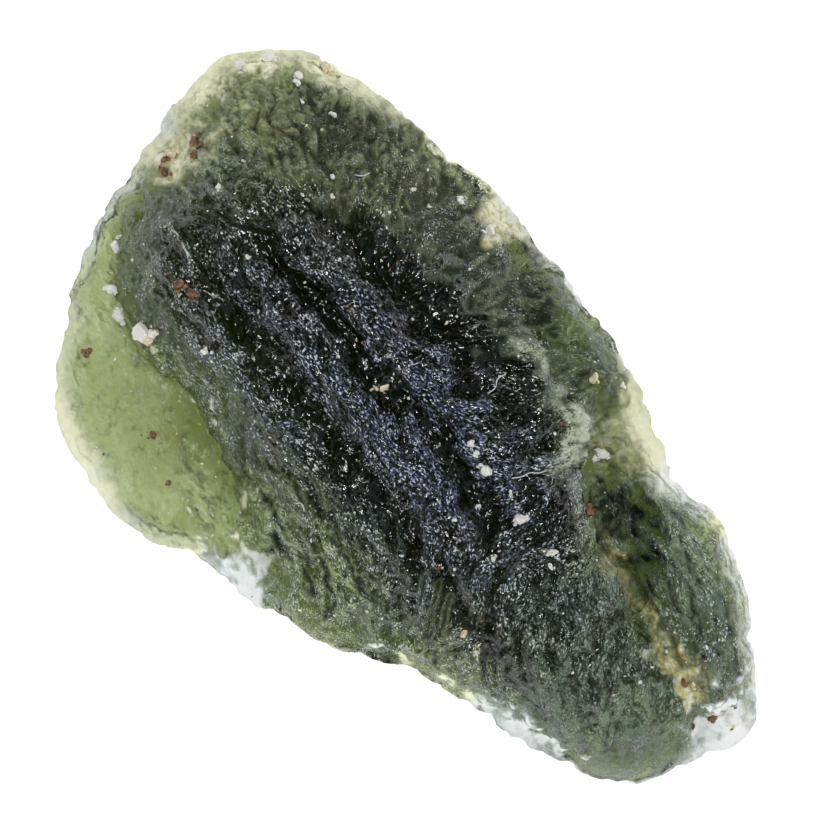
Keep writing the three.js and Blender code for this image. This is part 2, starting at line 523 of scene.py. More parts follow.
@dataclass(frozen=True)
class PaleGround:
    """A plain white table that glows a little, as a light table does."""

    white: Colour = (0.60, 0.60, 0.60)
    glow: float = 0.80

    def build(self) -> bpy.types.Material:
        """Makes the material.

        Returns:
            The material.
        """
        material = bpy.data.materials.new("pale_ground")
        n = Nodes(material)
        shader = n.add(
            "ShaderNodeBsdfPrincipled",
            None,
            {
                "Base Color": n.colour(self.white),
                "Roughness": 0.9,
                "Emission Color": n.colour((1.0, 1.0, 1.0)),
                "Emission Strength": self.glow,
            },
        ).wire(0)
        n.add("ShaderNodeOutputMaterial", None, {"Surface": shader})
        return material


# ---------------------------------------------------------------- work by hand in Blender


def deselect_all() -> None:
    """Leaves object mode's selection empty."""
    if bpy.context.object and bpy.context.object.mode != "OBJECT":
        bpy.ops.object.mode_set(mode="OBJECT")
    bpy.ops.object.select_all(action="DESELECT")


def pick(piece: bpy.types.Object) -> None:
    """Selects one piece alone, and makes it the active one.

    Args:
        piece: the piece.
    """
    deselect_all()
    piece.select_set(True)
    bpy.context.view_layer.objects.active = piece


def add_modifier(piece: bpy.types.Object, kind: str, **settings: object) -> None:
    """Gives a piece a modifier and applies it.

    Args:
        piece: the piece.
        kind: the modifier's type.
        settings: the modifier's settings, by name.
    """
    pick(piece)
    bpy.ops.object.modifier_add(type=kind)
    modifier = piece.modifiers[-1]
    for name, value in settings.items():
        setattr(modifier, name, value)
    bpy.ops.object.modifier_apply(modifier=modifier.name)


def points_of(piece: bpy.types.Object) -> np.ndarray:
    """Reads a mesh's points.

    Args:
        piece: the piece.

    Returns:
        One row of X, Y and Z for each point.
    """
    flat = np.empty(len(piece.data.vertices) * 3, np.float32)
    piece.data.vertices.foreach_get("co", flat)
    return flat.reshape(-1, 3).astype(float)


def normals_of(piece: bpy.types.Object) -> np.ndarray:
    """Reads the outward direction at each of a mesh's points.

    Args:
        piece: the piece.

    Returns:
        One row of X, Y and Z for each point.
    """
    flat = np.empty(len(piece.data.vertices) * 3, np.float32)
    piece.data.vertex_normals.foreach_get("vector", flat)
    return flat.reshape(-1, 3).astype(float)


def move_points(piece: bpy.types.Object, points: np.ndarray) -> None:
    """Writes a mesh's points back.

    Args:
        piece: the piece.
        points: one row of X, Y and Z for each point.
    """
    piece.data.vertices.foreach_set("co", points.astype(np.float32).ravel())
    piece.data.update()


def triangles_in(piece: bpy.types.Object) -> int:
    """How many triangles a mesh comes to."""
    return sum(len(p.vertices) - 2 for p in piece.data.polygons)


def faces_of(piece: bpy.types.Object) -> BVHTree:
    """Indexes a mesh's faces, for finding where a line meets them."""
    mesh = piece.data
    return BVHTree.FromPolygons([v.co for v in mesh.vertices], [tuple(p.vertices) for p in mesh.polygons])


def smooth_step(low: float, high: float, value: np.ndarray) -> np.ndarray:
    """Turns a range into 0 to 1, with soft ends.

    Args:
        low: what becomes 0.
        high: what becomes 1.
        value: the numbers to turn.

    Returns:
        The numbers between 0 and 1.
    """
    t = np.clip((value - low) / (high - low), 0.0, 1.0)
    return t * t * (3.0 - 2.0 * t)


# ---------------------------------------------------------------- the drawing sheet


@dataclass(frozen=True)
class Stroke:
    """A ridge, or a groove where its height is below 0, drawn along a line."""

    line: tuple[Place, ...]
    width: float
    height: float


@dataclass(frozen=True)
class Patch:
    """A round area with a strength that fades out from its middle."""

    at: Place
    reach: float
    strength: float


@dataclass(frozen=True)
class Flow:
    """The direction that the grain runs in around one place, in degrees from +X."""

    at: Place
    degrees: float
    reach: float


@dataclass(frozen=True)
class Mark:
    """A value at one place, which blends into the next mark's."""

    at: Place
    value: float
    reach: float = 2.0


class Sheet:
    """A fine grid over the stone, seen from above, that holds one number at each place."""

    def __init__(self, length: float, width: float, pitch: float = 0.04) -> None:
        """Lays the grid out around the origin.

        Args:
            length: how far it reaches along X, in millimetres.
            width: how far it reaches along Y.
            pitch: the distance from one place to the next.
        """
        self.pitch = pitch
        self.columns = int(length / pitch)
        self.rows = int(width / pitch)
        self.left = -0.5 * self.columns * pitch
        self.front = -0.5 * self.rows * pitch
        xs = self.left + pitch * np.arange(self.columns)
        ys = self.front + pitch * np.arange(self.rows)
        self.x, self.y = np.meshgrid(xs, ys)

    def read(self, values: np.ndarray, x: np.ndarray, y: np.ndarray) -> np.ndarray:
        """Reads the grid between its places.

        Args:
            values: the grid's numbers.
            x: where to read, along X.
            y: where to read, along Y.

        Returns:
            The numbers there.
        """
        u = np.clip((x - self.left) / self.pitch, 0.0, self.columns - 1.001)
        v = np.clip((y - self.front) / self.pitch, 0.0, self.rows - 1.001)
        i, j = u.astype(int), v.astype(int)
        u, v = u - i, v - j
        low = values[j, i] * (1 - u) + values[j, i + 1] * u
        high = values[j + 1, i] * (1 - u) + values[j + 1, i + 1] * u
        return low * (1 - v) + high * v

    def clouds(self, size: float, seed: int) -> np.ndarray:
        """Random numbers, blurred to clouds of one size.

        Args:
            size: how wide the clouds are, in millimetres.
            seed: which of the endless patterns to draw.

        Returns:
            The pattern, with a mean of 0 and a spread of 1.
        """
        soft = self.blurred(np.random.default_rng(seed).standard_normal(self.x.shape), size / 3.5)
        return (soft - soft.mean()) / soft.std()

    def blurred(self, values: np.ndarray, reach: float) -> np.ndarray:
        """Softens a pattern.

        Args:
            values: the pattern.
            reach: how far each place spreads, in millimetres.

        Returns:
            The soft pattern.
        """
        across = np.fft.fftfreq(self.columns, self.pitch)[None, :]
        up = np.fft.fftfreq(self.rows, self.pitch)[:, None]
        keep = np.exp(-2.0 * (math.pi * reach) ** 2 * (across**2 + up**2))
        return np.fft.ifft2(np.fft.fft2(values) * keep).real

    def flow(self, flows: tuple[Flow, ...], wander: float, seed: int) -> Direction:
        """Blends flow marks into a direction at every place.

        Args:
            flows: the marks.
            wander: how far the direction strays from them, in degrees.
            seed: which of the endless patterns it strays by.

        Returns:
            The cosine and the sine of twice the direction, so that opposite ways count as one.
        """
        cosine = np.full(self.x.shape, 1e-4)
        sine = np.zeros(self.x.shape)
        for mark in flows:
            away = np.hypot(self.x - mark.at[0], self.y - mark.at[1]) / mark.reach
            weight = np.exp(-away * away)
            cosine += weight * math.cos(2 * math.radians(mark.degrees))
            sine += weight * math.sin(2 * math.radians(mark.degrees))
        double = np.arctan2(sine, cosine) + 2 * math.radians(wander) * self.clouds(0.7, seed)
        return np.cos(double), np.sin(double)

    def spread(self, marks: tuple[Mark, ...]) -> np.ndarray:
        """Blends marks into a value at every place.

        Args:
            marks: the marks.

        Returns:
            The value at each place.
        """
        total = np.zeros(self.x.shape)
        weights = np.full(self.x.shape, 1e-9)
        for mark in marks:
            away = np.hypot(self.x - mark.at[0], self.y - mark.at[1]) / mark.reach
            weight = np.exp(-away * away) + 1e-3 / (1.0 + away**4)
            total += weight * mark.value
            weights += weight
        return total / weights

    def drawn_out(self, values: np.ndarray, flow: Direction, length: float) -> np.ndarray:
        """Drags a pattern along the flow, so that its clouds become streaks.

        Args:
            values: the pattern.
            flow: what the flow method returned.
            length: how long the streaks get, in millimetres.

        Returns:
            The streaks, with a mean of 0 and a spread of 1.
        """
        angle = 0.5 * np.arctan2(flow[1], flow[0])
        step = max(self.pitch, length / 16.0)
        steps = int(length / 2.0 / step)
        total = values.copy()
        for way in (1.0, -1.0):
            x, y = self.x.copy(), self.y.copy()
            dx, dy = way * np.cos(angle), way * np.sin(angle)
            for k in range(steps):
                x += dx * step
                y += dy * step
                i = np.clip(((x - self.left) / self.pitch).astype(int), 0, self.columns - 1)
                j = np.clip(((y - self.front) / self.pitch).astype(int), 0, self.rows - 1)
                turned = angle[j, i]
                nx, ny = np.cos(turned), np.sin(turned)
                back = np.sign(nx * dx + ny * dy)
                dx, dy = nx * back, ny * back
                total += self.read(values, x, y) * math.cos(0.5 * math.pi * (k + 1) / (steps + 1)) ** 2
        return (total - total.mean()) / total.std()

    def inset(self, x: np.ndarray, y: np.ndarray, reach: float) -> np.ndarray:
        """How far inside the outline of a crowd of points each place lies.

        Args:
            x: the points, along X.
            y: the points, along Y.
            reach: the distance to stop counting at, in millimetres.

        Returns:
            The distances: 0 outside, growing inward.
        """
        span = ((self.front, -self.front), (self.left, -self.left))
        count, _, _ = np.histogram2d(y, x, bins=(self.rows, self.columns), range=span)
        inside = self.blurred(count, 0.06) > 0.5
        away = np.where(inside, reach, 0.0)
        steps = [(r, c, math.hypot(r, c) * self.pitch) for r in (-1, 0, 1) for c in (-1, 0, 1) if r or c]
        for _ in range(int(reach / self.pitch)):
            for rows, columns, length in steps:
                away = np.minimum(away, np.roll(away, (rows, columns), (0, 1)) + length)
        return self.blurred(away, 0.05)

    def distance(self, line: tuple[Place, ...], x: np.ndarray, y: np.ndarray) -> np.ndarray:
        """How far each place is from a line.

        Args:
            line: the line's corners.
            x: the places, along X.
            y: the places, along Y.

        Returns:
            The distances, in millimetres.
        """
        nearest = np.full(x.shape, np.inf)
        for (ax, ay), (bx, by) in zip(line, line[1:]):
            dx, dy = bx - ax, by - ay
            share = np.clip(((x - ax) * dx + (y - ay) * dy) / (dx * dx + dy * dy), 0.0, 1.0)
            nearest = np.minimum(nearest, np.hypot(x - ax - share * dx, y - ay - share * dy))
        return nearest

    def strokes(self, strokes: tuple[Stroke, ...], ragged: float, seed: int) -> np.ndarray:
        """Draws ridges and grooves with ragged sides.

        Args:
            strokes: what to draw.
            ragged: how far their lines wander, in millimetres.
            seed: which of the endless patterns they wander by.

        Returns:
            The height at each place.
        """
        x = self.x + ragged * self.clouds(0.7, seed)
        y = self.y + ragged * self.clouds(0.7, seed + 1)
        total = np.zeros(self.x.shape)
        for stroke in strokes:
            away = self.distance(stroke.line, x, y) / stroke.width
            total += stroke.height * np.exp(-away * away)
        return total

    def patches(self, patches: tuple[Patch, ...], ragged: float, seed: int) -> np.ndarray:
        """Draws round areas with ragged rims.

        Args:
            patches: what to draw.
            ragged: how far their rims wander, in millimetres.
            seed: which of the endless patterns they wander by.

        Returns:
            The strength at each place.
        """
        x = self.x + ragged * self.clouds(0.5, seed)
        y = self.y + ragged * self.clouds(0.5, seed + 1)
        total = np.zeros(self.x.shape)
        for patch in patches:
            away = np.hypot(x - patch.at[0], y - patch.at[1]) / patch.reach
            total += patch.strength * (1.0 - smooth_step(0.5, 1.2, away))
        return total


# ---------------------------------------------------------------- lines on the stone


def redrawn(strokes: tuple[Stroke, ...], height: float) -> tuple[Stroke, ...]:
    """Draws the same lines again, all at one height or strength."""
    return tuple(replace(stroke, height=height) for stroke in strokes)


LEFT_CREST = ((-9.0, -0.5), (-8.0, -0.7), (-7.0, -1.1), (-6.0, -1.35))
LEFT_SHINE = ((-9.0, -0.5), (-8.0, -0.7), (-7.0, -1.1), (-6.0, -1.3))
LOBE_CREST = ((-7.5, -3.0), (-6.8, -3.1), (-6.0, -2.8), (-5.2, -2.7), (-4.2, -3.0))
LEDGE_SHINE = ((-3.0, -5.3), (-1.9, -5.3), (-0.5, -5.7))
FRONT_FURROW = ((-7.2, -0.95), (-3.0, -1.1), (-1.0, -0.95), (0.5, -0.92), (4.0, -1.0), (5.6, -1.3))
FURROW_BEND = ((0.7, 1.2), (1.5, 1.0), (2.1, 1.2), (2.7, 0.9))
CLAW = ((3.1, -3.9), (3.35, -3.45), (3.8, -3.3), (4.2, -3.4))
FRONT_FOLDS = (
    Stroke(((-3.0, -3.35), (-1.6, -3.3), (-0.9, -3.7), (-0.4, -4.2)), 0.12, -0.14),
    Stroke(((-0.8, -3.2), (0.0, -3.12), (0.9, -3.3), (1.5, -3.75), (1.9, -4.2)), 0.10, -0.16),
    Stroke(((-0.9, -3.95), (0.0, -3.8), (0.9, -3.95), (1.5, -4.35)), 0.12, -0.14),
    Stroke(((-2.6, -2.75), (-1.6, -2.45), (-0.6, -2.5)), 0.10, -0.14),
    Stroke(((0.0, -2.5), (1.0, -2.6), (1.7, -2.85), (2.4, -2.8)), 0.10, -0.14),
    Stroke(((3.0, -1.2), (3.6, -1.9), (4.1, -2.7)), 0.12, -0.14),
)


# ---------------------------------------------------------------- the stone's parts


class Side(Enum):
    """The two sides of the stone, with the first seed of their patterns."""

    TOP = 100
    UNDER = 500


class Pattern(IntEnum):
    """The seeds of the patterns that are drawn once."""

    TAN = 40
    CREAM = 50
    FROST_DRIFTS = 60
    FROST_MOTTLE = 61
    WARMTH = 62
    PALE = 63
    CRESTS = 64
    FINE_RIM = 65
    COARSE_RIM = 66
    STAIN_PATCHES = 67
    STAIN_LINES = 68
    WHITE = 69
    SMALL_BITES = 70
    LARGE_BITES = 71
    RIM_WIDTH = 72
    BARE = 73
    THREAD = 74
    RIPPLES = 75


@dataclass(frozen=True)
class Relief:
    """The landforms and the grain that acid soil has etched into the glass.

    Streaks and cracks are given by their width, their length and their height or depth, and pits by their
    width and depth, all in millimetres. The relief is lower where the surface is calm.
    """

    sheet: Sheet
    streaks: tuple[tuple[float, float, float], ...] = ((0.6, 2.4, 0.05), (0.16, 0.5, 0.022))
    cracks: tuple[tuple[float, float, float], ...] = ((0.36, 1.3, 0.12), (0.2, 0.6, 0.07))
    crack_flank: float = 0.28
    pits: tuple[tuple[float, float], ...] = ((0.9, 0.05), (0.15, 0.022))
    wander: float = 16.0
    strength: dict[Side, float] = field(default_factory=lambda: {Side.TOP: 1.0, Side.UNDER: 0.6})
    calm: tuple[Patch, ...] = (
        Patch((-6.0, -5.4), 3.0, 0.65),
        Patch((9.0, 0.2), 2.4, 0.3),
    )
    flows: tuple[Flow, ...] = (
        Flow((-9.0, 0.5), 5, 2.4),
        Flow((-6.0, 0.5), 0, 2.4),
        Flow((-2.5, 0.3), 0, 2.4),
        Flow((1.0, -0.3), -4, 2.0),
        Flow((-8.5, 4.0), 150, 1.8),
        Flow((-6.5, 4.2), 125, 1.6),
        Flow((-4.4, 4.2), 105, 1.2),
        Flow((-2.6, 4.2), 75, 1.2),
        Flow((-1.2, 3.6), 50, 1.2),
        Flow((0.8, 3.4), 45, 1.4),
        Flow((2.2, 3.2), 62, 1.2),
        Flow((3.6, 1.8), 95, 1.5),
        Flow((1.8, 4.3), 80, 0.8),
        Flow((0.0, -2.8), -20, 1.6),
        Flow((1.8, -3.4), -42, 1.4),
        Flow((4.2, -1.8), -55, 1.8),
        Flow((7.2, -0.4), -38, 2.2),
        Flow((9.8, -0.2), -35, 2.2),
        Flow((6.8, 4.6), -12, 1.8),
        Flow((9.4, 3.6), -26, 1.8),
        Flow((-6.0, -2.0), -8, 1.6),
        Flow((-5.5, -4.8), -14, 2.4),
    )
    ridges: tuple[Stroke, ...] = (
        Stroke(LEFT_CREST, 0.28, 0.26),
        Stroke((*LOBE_CREST, (-2.6, -3.3), (-1.0, -3.9)), 0.28, 0.22),
        Stroke((*LOBE_CREST, (-2.6, -3.3)), 0.1, 0.12),
        Stroke(LEFT_CREST, 0.09, 0.10),
        Stroke(((-3.0, -5.3), (-1.9, -5.3), (-0.5, -5.6)), 0.18, 0.18),
        Stroke(((-7.2, -0.85), (-3.0, -0.8), (0.5, -0.95), (4.0, -1.2)), 0.42, -0.30),
        Stroke(((-7.0, 1.15), (-3.5, 1.0), (-0.5, 1.5), *FURROW_BEND), 0.32, -0.28),
        Stroke(((2.7, 0.9), (3.4, 0.1), (4.6, -0.3)), 0.25, -0.16),
        Stroke(((-6.2, 3.1), (-4.0, 2.9), (-1.5, 3.2), (-0.2, 3.0)), 0.38, -0.24),
        Stroke(((-7.5, 0.1), (-2.0, 0.1), (2.4, 0.1)), 0.5, 0.14),
        Stroke(((-6.6, 1.9), (-3.0, 2.1), (0.0, 2.2), (1.6, 2.0)), 0.42, 0.18),
        Stroke(((2.1, 2.3), (2.4, 2.8), (3.0, 3.0)), 0.2, -0.18),
        Stroke(((-0.5, 4.6), (0.0, 4.85), (0.4, 4.75)), 0.32, 0.26),
        Stroke(((1.5, 4.7), (2.1, 4.8), (2.6, 4.45), (3.0, 4.0)), 0.34, 0.24),
        Stroke(((3.1, 3.7), (3.6, 3.35), (4.0, 2.95), (5.2, 2.85), (5.8, 3.05), (6.1, 3.5)), 0.26, 0.22),
        Stroke(((5.9, 2.95), (7.0, 2.6), (8.0, 2.4), (9.0, 2.2), (10.6, 1.9)), 0.22, -0.26),
        Stroke(((5.2, 5.0), (6.6, 5.15), (8.0, 4.75), (9.6, 3.9), (10.9, 3.2)), 0.22, -0.16),
        Stroke(((5.6, 4.6), (7.0, 4.65), (8.5, 4.2), (10.0, 3.4)), 0.2, 0.14),
        Stroke(((-1.0, -2.3), (0.6, -2.6), (2.0, -3.2), (2.9, -4.0)), 0.26, -0.18),
        *FRONT_FOLDS,
        Stroke(((-2.2, -3.9), (-1.2, -4.0), (-0.4, -4.4), (0.8, -4.4)), 0.22, -0.16),
        Stroke(((0.2, -1.6), (2.0, -2.0), (3.6, -2.9)), 0.26, -0.14),
        Stroke(CLAW, 0.12, 0.12),
        Stroke(((5.6, 1.9), (7.6, 1.2), (10.4, 0.6)), 0.5, -0.14),
        Stroke(((5.8, -0.4), (7.8, -1.0), (9.8, -0.9)), 0.5, 0.12),
    )

    def flow(self, side: Side) -> Direction:
        """The way that one side's grain runs, as the sheet's flow method gives it."""
        return self.sheet.flow(self.flows, self.wander, side.value)

    def crack_lines(self, side: Side) -> list[tuple[np.ndarray, np.ndarray]]:
        """Draws the cracks that run along the flow, one pattern for each of their sizes.

        Args:
            side: which side they are on.

        Returns:
            For each size, the depth at each place and a number that is 0 along the cracks.
        """
        sheet = self.sheet
        flow = self.flow(side)
        lively = 0.35 + 0.65 * smooth_step(-1.0, 1.0, sheet.clouds(1.6, side.value + 40))
        found = []
        for k, (width, length, depth) in enumerate(self.cracks):
            streak = sheet.drawn_out(sheet.clouds(width, side.value + 20 + k), flow, length)
            found.append((depth * lively, streak))
        return found

    def height(self, side: Side) -> np.ndarray:
        """Works out one side's relief.

        Args:
            side: which side.

        Returns:
            How far the surface stands out at each place, in millimetres.
        """
        sheet = self.sheet
        seed = side.value
        flow = self.flow(side)
        total = np.zeros(sheet.x.shape)
        if side is Side.TOP:
            total += sheet.strokes(self.ridges, 0.10, seed)
        for k, (width, length, height) in enumerate(self.streaks):
            total += height * sheet.drawn_out(sheet.clouds(width, seed + 10 + k), flow, length)
        for depth, streak in self.crack_lines(side):
            total -= depth * np.exp(-np.abs(streak) / self.crack_flank)
        for k, (width, depth) in enumerate(self.pits):
            total += depth * (0.8 - np.abs(sheet.clouds(width, seed + 30 + k)))
        calm = np.clip(sheet.patches(self.calm, 0.3, seed + 50), 0.0, 0.8)
        return total * (1.0 - calm) * self.strength[side]


@dataclass(frozen=True)
class Rim:
    """The stone's outline: small bites are out of it, and the glass thins towards it to an edge.

    The edge is how thick the glass is at the outline, the slope is how fast it thickens inward, and the swell
    is how fast it thickens further in than the thin edge is wide.
    """

    sheet: Sheet
    widths: tuple[Mark, ...] = (
        Mark((-11.5, 1.5), 0.45, 2.0),
        Mark((-10.0, -2.5), 0.35, 1.5),
        Mark((-9.6, 5.6), 0.4, 2.0),
        Mark((-6.0, 6.5), 0.3, 2.0),
        Mark((-3.0, 6.8), 0.25, 1.5),
        Mark((0.8, 6.8), 0.15, 1.5),
        Mark((3.5, 6.2), 0.5, 1.2),
        Mark((7.0, 5.6), 0.12, 1.5),
        Mark((10.5, 4.0), 0.12, 1.5),
        Mark((11.7, 1.8), 0.35, 1.0),
        Mark((10.4, -1.2), 0.08, 1.5),
        Mark((7.8, -2.3), 0.35, 1.0),
        Mark((5.0, -3.0), 0.1, 1.5),
        Mark((2.0, -4.8), 0.12, 1.5),
        Mark((-0.6, -5.8), 0.5, 1.2),
        Mark((-5.5, -6.8), 0.5, 2.0),
        Mark((-9.0, -4.6), 0.5, 2.0),
    )
    edge: float = 0.05
    slope: float = 0.9
    swell: float = 4.5
    reach: float = 1.6
    small_bites: float = 0.07
    large_bites: float = 0.09

    def inset(self, piece: bpy.types.Object) -> np.ndarray:
        """How far inside the piece's outline each place of the sheet lies, up to the rim's reach."""
        points = points_of(piece)
        return self.sheet.inset(points[:, 0], points[:, 1], self.reach)

    def width(self) -> np.ndarray:
        """How wide the thin edge is around each place of the sheet, in millimetres."""
        return self.sheet.spread(self.widths) * np.exp(0.35 * self.sheet.clouds(0.9, Pattern.RIM_WIDTH))

    def nibble(self, piece: bpy.types.Object) -> None:
        """Takes small bites out of the outline, by pulling points inward.

        Args:
            piece: the stone.
        """
        sheet = self.sheet
        points = points_of(piece)
        x, y = points[:, 0], points[:, 1]
        inset = self.inset(piece)
        bite = self.small_bites * np.clip(sheet.clouds(0.35, Pattern.SMALL_BITES), 0.0, 2.0)
        bite += self.large_bites * np.clip(sheet.clouds(1.1, Pattern.LARGE_BITES), 0.0, 2.0)
        bite *= 1.0 - smooth_step(0.0, 0.7, inset)
        up, across = np.gradient(sheet.blurred(inset, 0.12), sheet.pitch)
        points[:, 0] += sheet.read(bite * across, x, y)
        points[:, 1] += sheet.read(bite * up, x, y)
        move_points(piece, points)

    def draw_out(self, piece: bpy.types.Object, inset: np.ndarray) -> None:
        """Brings the top and the underside together towards the outline, into a thin edge.

        Args:
            piece: the stone.
            inset: what the inset method returned.
        """
        points = points_of(piece)
        x, y = points[:, 0], points[:, 1]
        upward = np.sign(normals_of(piece)[:, 2])
        past = np.clip(inset - self.width(), 0.0, None)
        allowed = self.sheet.read(self.edge + self.slope * inset + self.swell * past**1.5, x, y)
        tree = faces_of(piece)
        for i in np.flatnonzero(self.sheet.read(inset, x, y) < self.reach * 0.97):
            inward = Vector((0.0, 0.0, -upward[i]))
            _, _, _, thickness = tree.ray_cast(Vector(points[i]) + inward * 0.001, inward)
            if thickness is not None and thickness > allowed[i]:
                points[i, 2] -= upward[i] * 0.5 * (thickness - allowed[i])
        move_points(piece, points)


@dataclass(frozen=True)
class Lip:
    """The top edge of the back's steep wall, which hangs over the shelf, with a hollow below it.

    The heights are where the overhang sets in, where the hollow closes under it, and where its floor lies.
    """

    line: tuple[Place, ...] = (
        (-0.4, 4.75),
        (0.0, 4.85),
        (0.4, 4.62),
        (1.0, 4.55),
        (1.5, 4.65),
        (2.0, 4.75),
        (2.4, 4.68),
        (2.75, 4.4),
        (2.95, 4.0),
        (3.1, 3.62),
        (3.6, 3.33),
        (3.95, 3.02),
        (4.6, 2.92),
        (5.3, 2.88),
        (5.75, 3.05),
    )
    reach: float = 1.4
    bend: float = 0.6
    overhang: float = 0.12
    undercut: float = 0.65
    edge_heights: tuple[float, float] = (4.0, 4.5)
    roof_heights: tuple[float, float] = (3.6, 4.5)
    floor_heights: tuple[float, float] = (1.5, 1.8)

    def hang(self, piece: bpy.types.Object) -> None:
        """Pushes the edge out over the shelf and the wall below it back, across the lip's line.

        Args:
            piece: the stone.
        """
        points = points_of(piece)
        x, y, z = points.T
        line = np.array(self.line)
        gaps = np.hypot(x[:, None] - line[None, :, 0], y[:, None] - line[None, :, 1])
        tangents = np.gradient(line, axis=0)
        outward = np.stack([-tangents[:, 1], tangents[:, 0]], axis=1)
        outward /= np.linalg.norm(outward, axis=1)[:, None]
        way = np.exp(-((gaps / self.bend) ** 2)) @ outward
        way /= np.maximum(np.linalg.norm(way, axis=1), 1e-9)[:, None]
        share = 1.0 - smooth_step(0.5 * self.reach, self.reach, gaps.min(axis=1))
        edge = self.overhang * smooth_step(*self.edge_heights, z)
        below_roof = 1.0 - smooth_step(*self.roof_heights, z)
        hollow = self.undercut * below_roof * smooth_step(*self.floor_heights, z)
        points[:, :2] += way * (share * (edge - hollow))[:, None]
        move_points(piece, points)


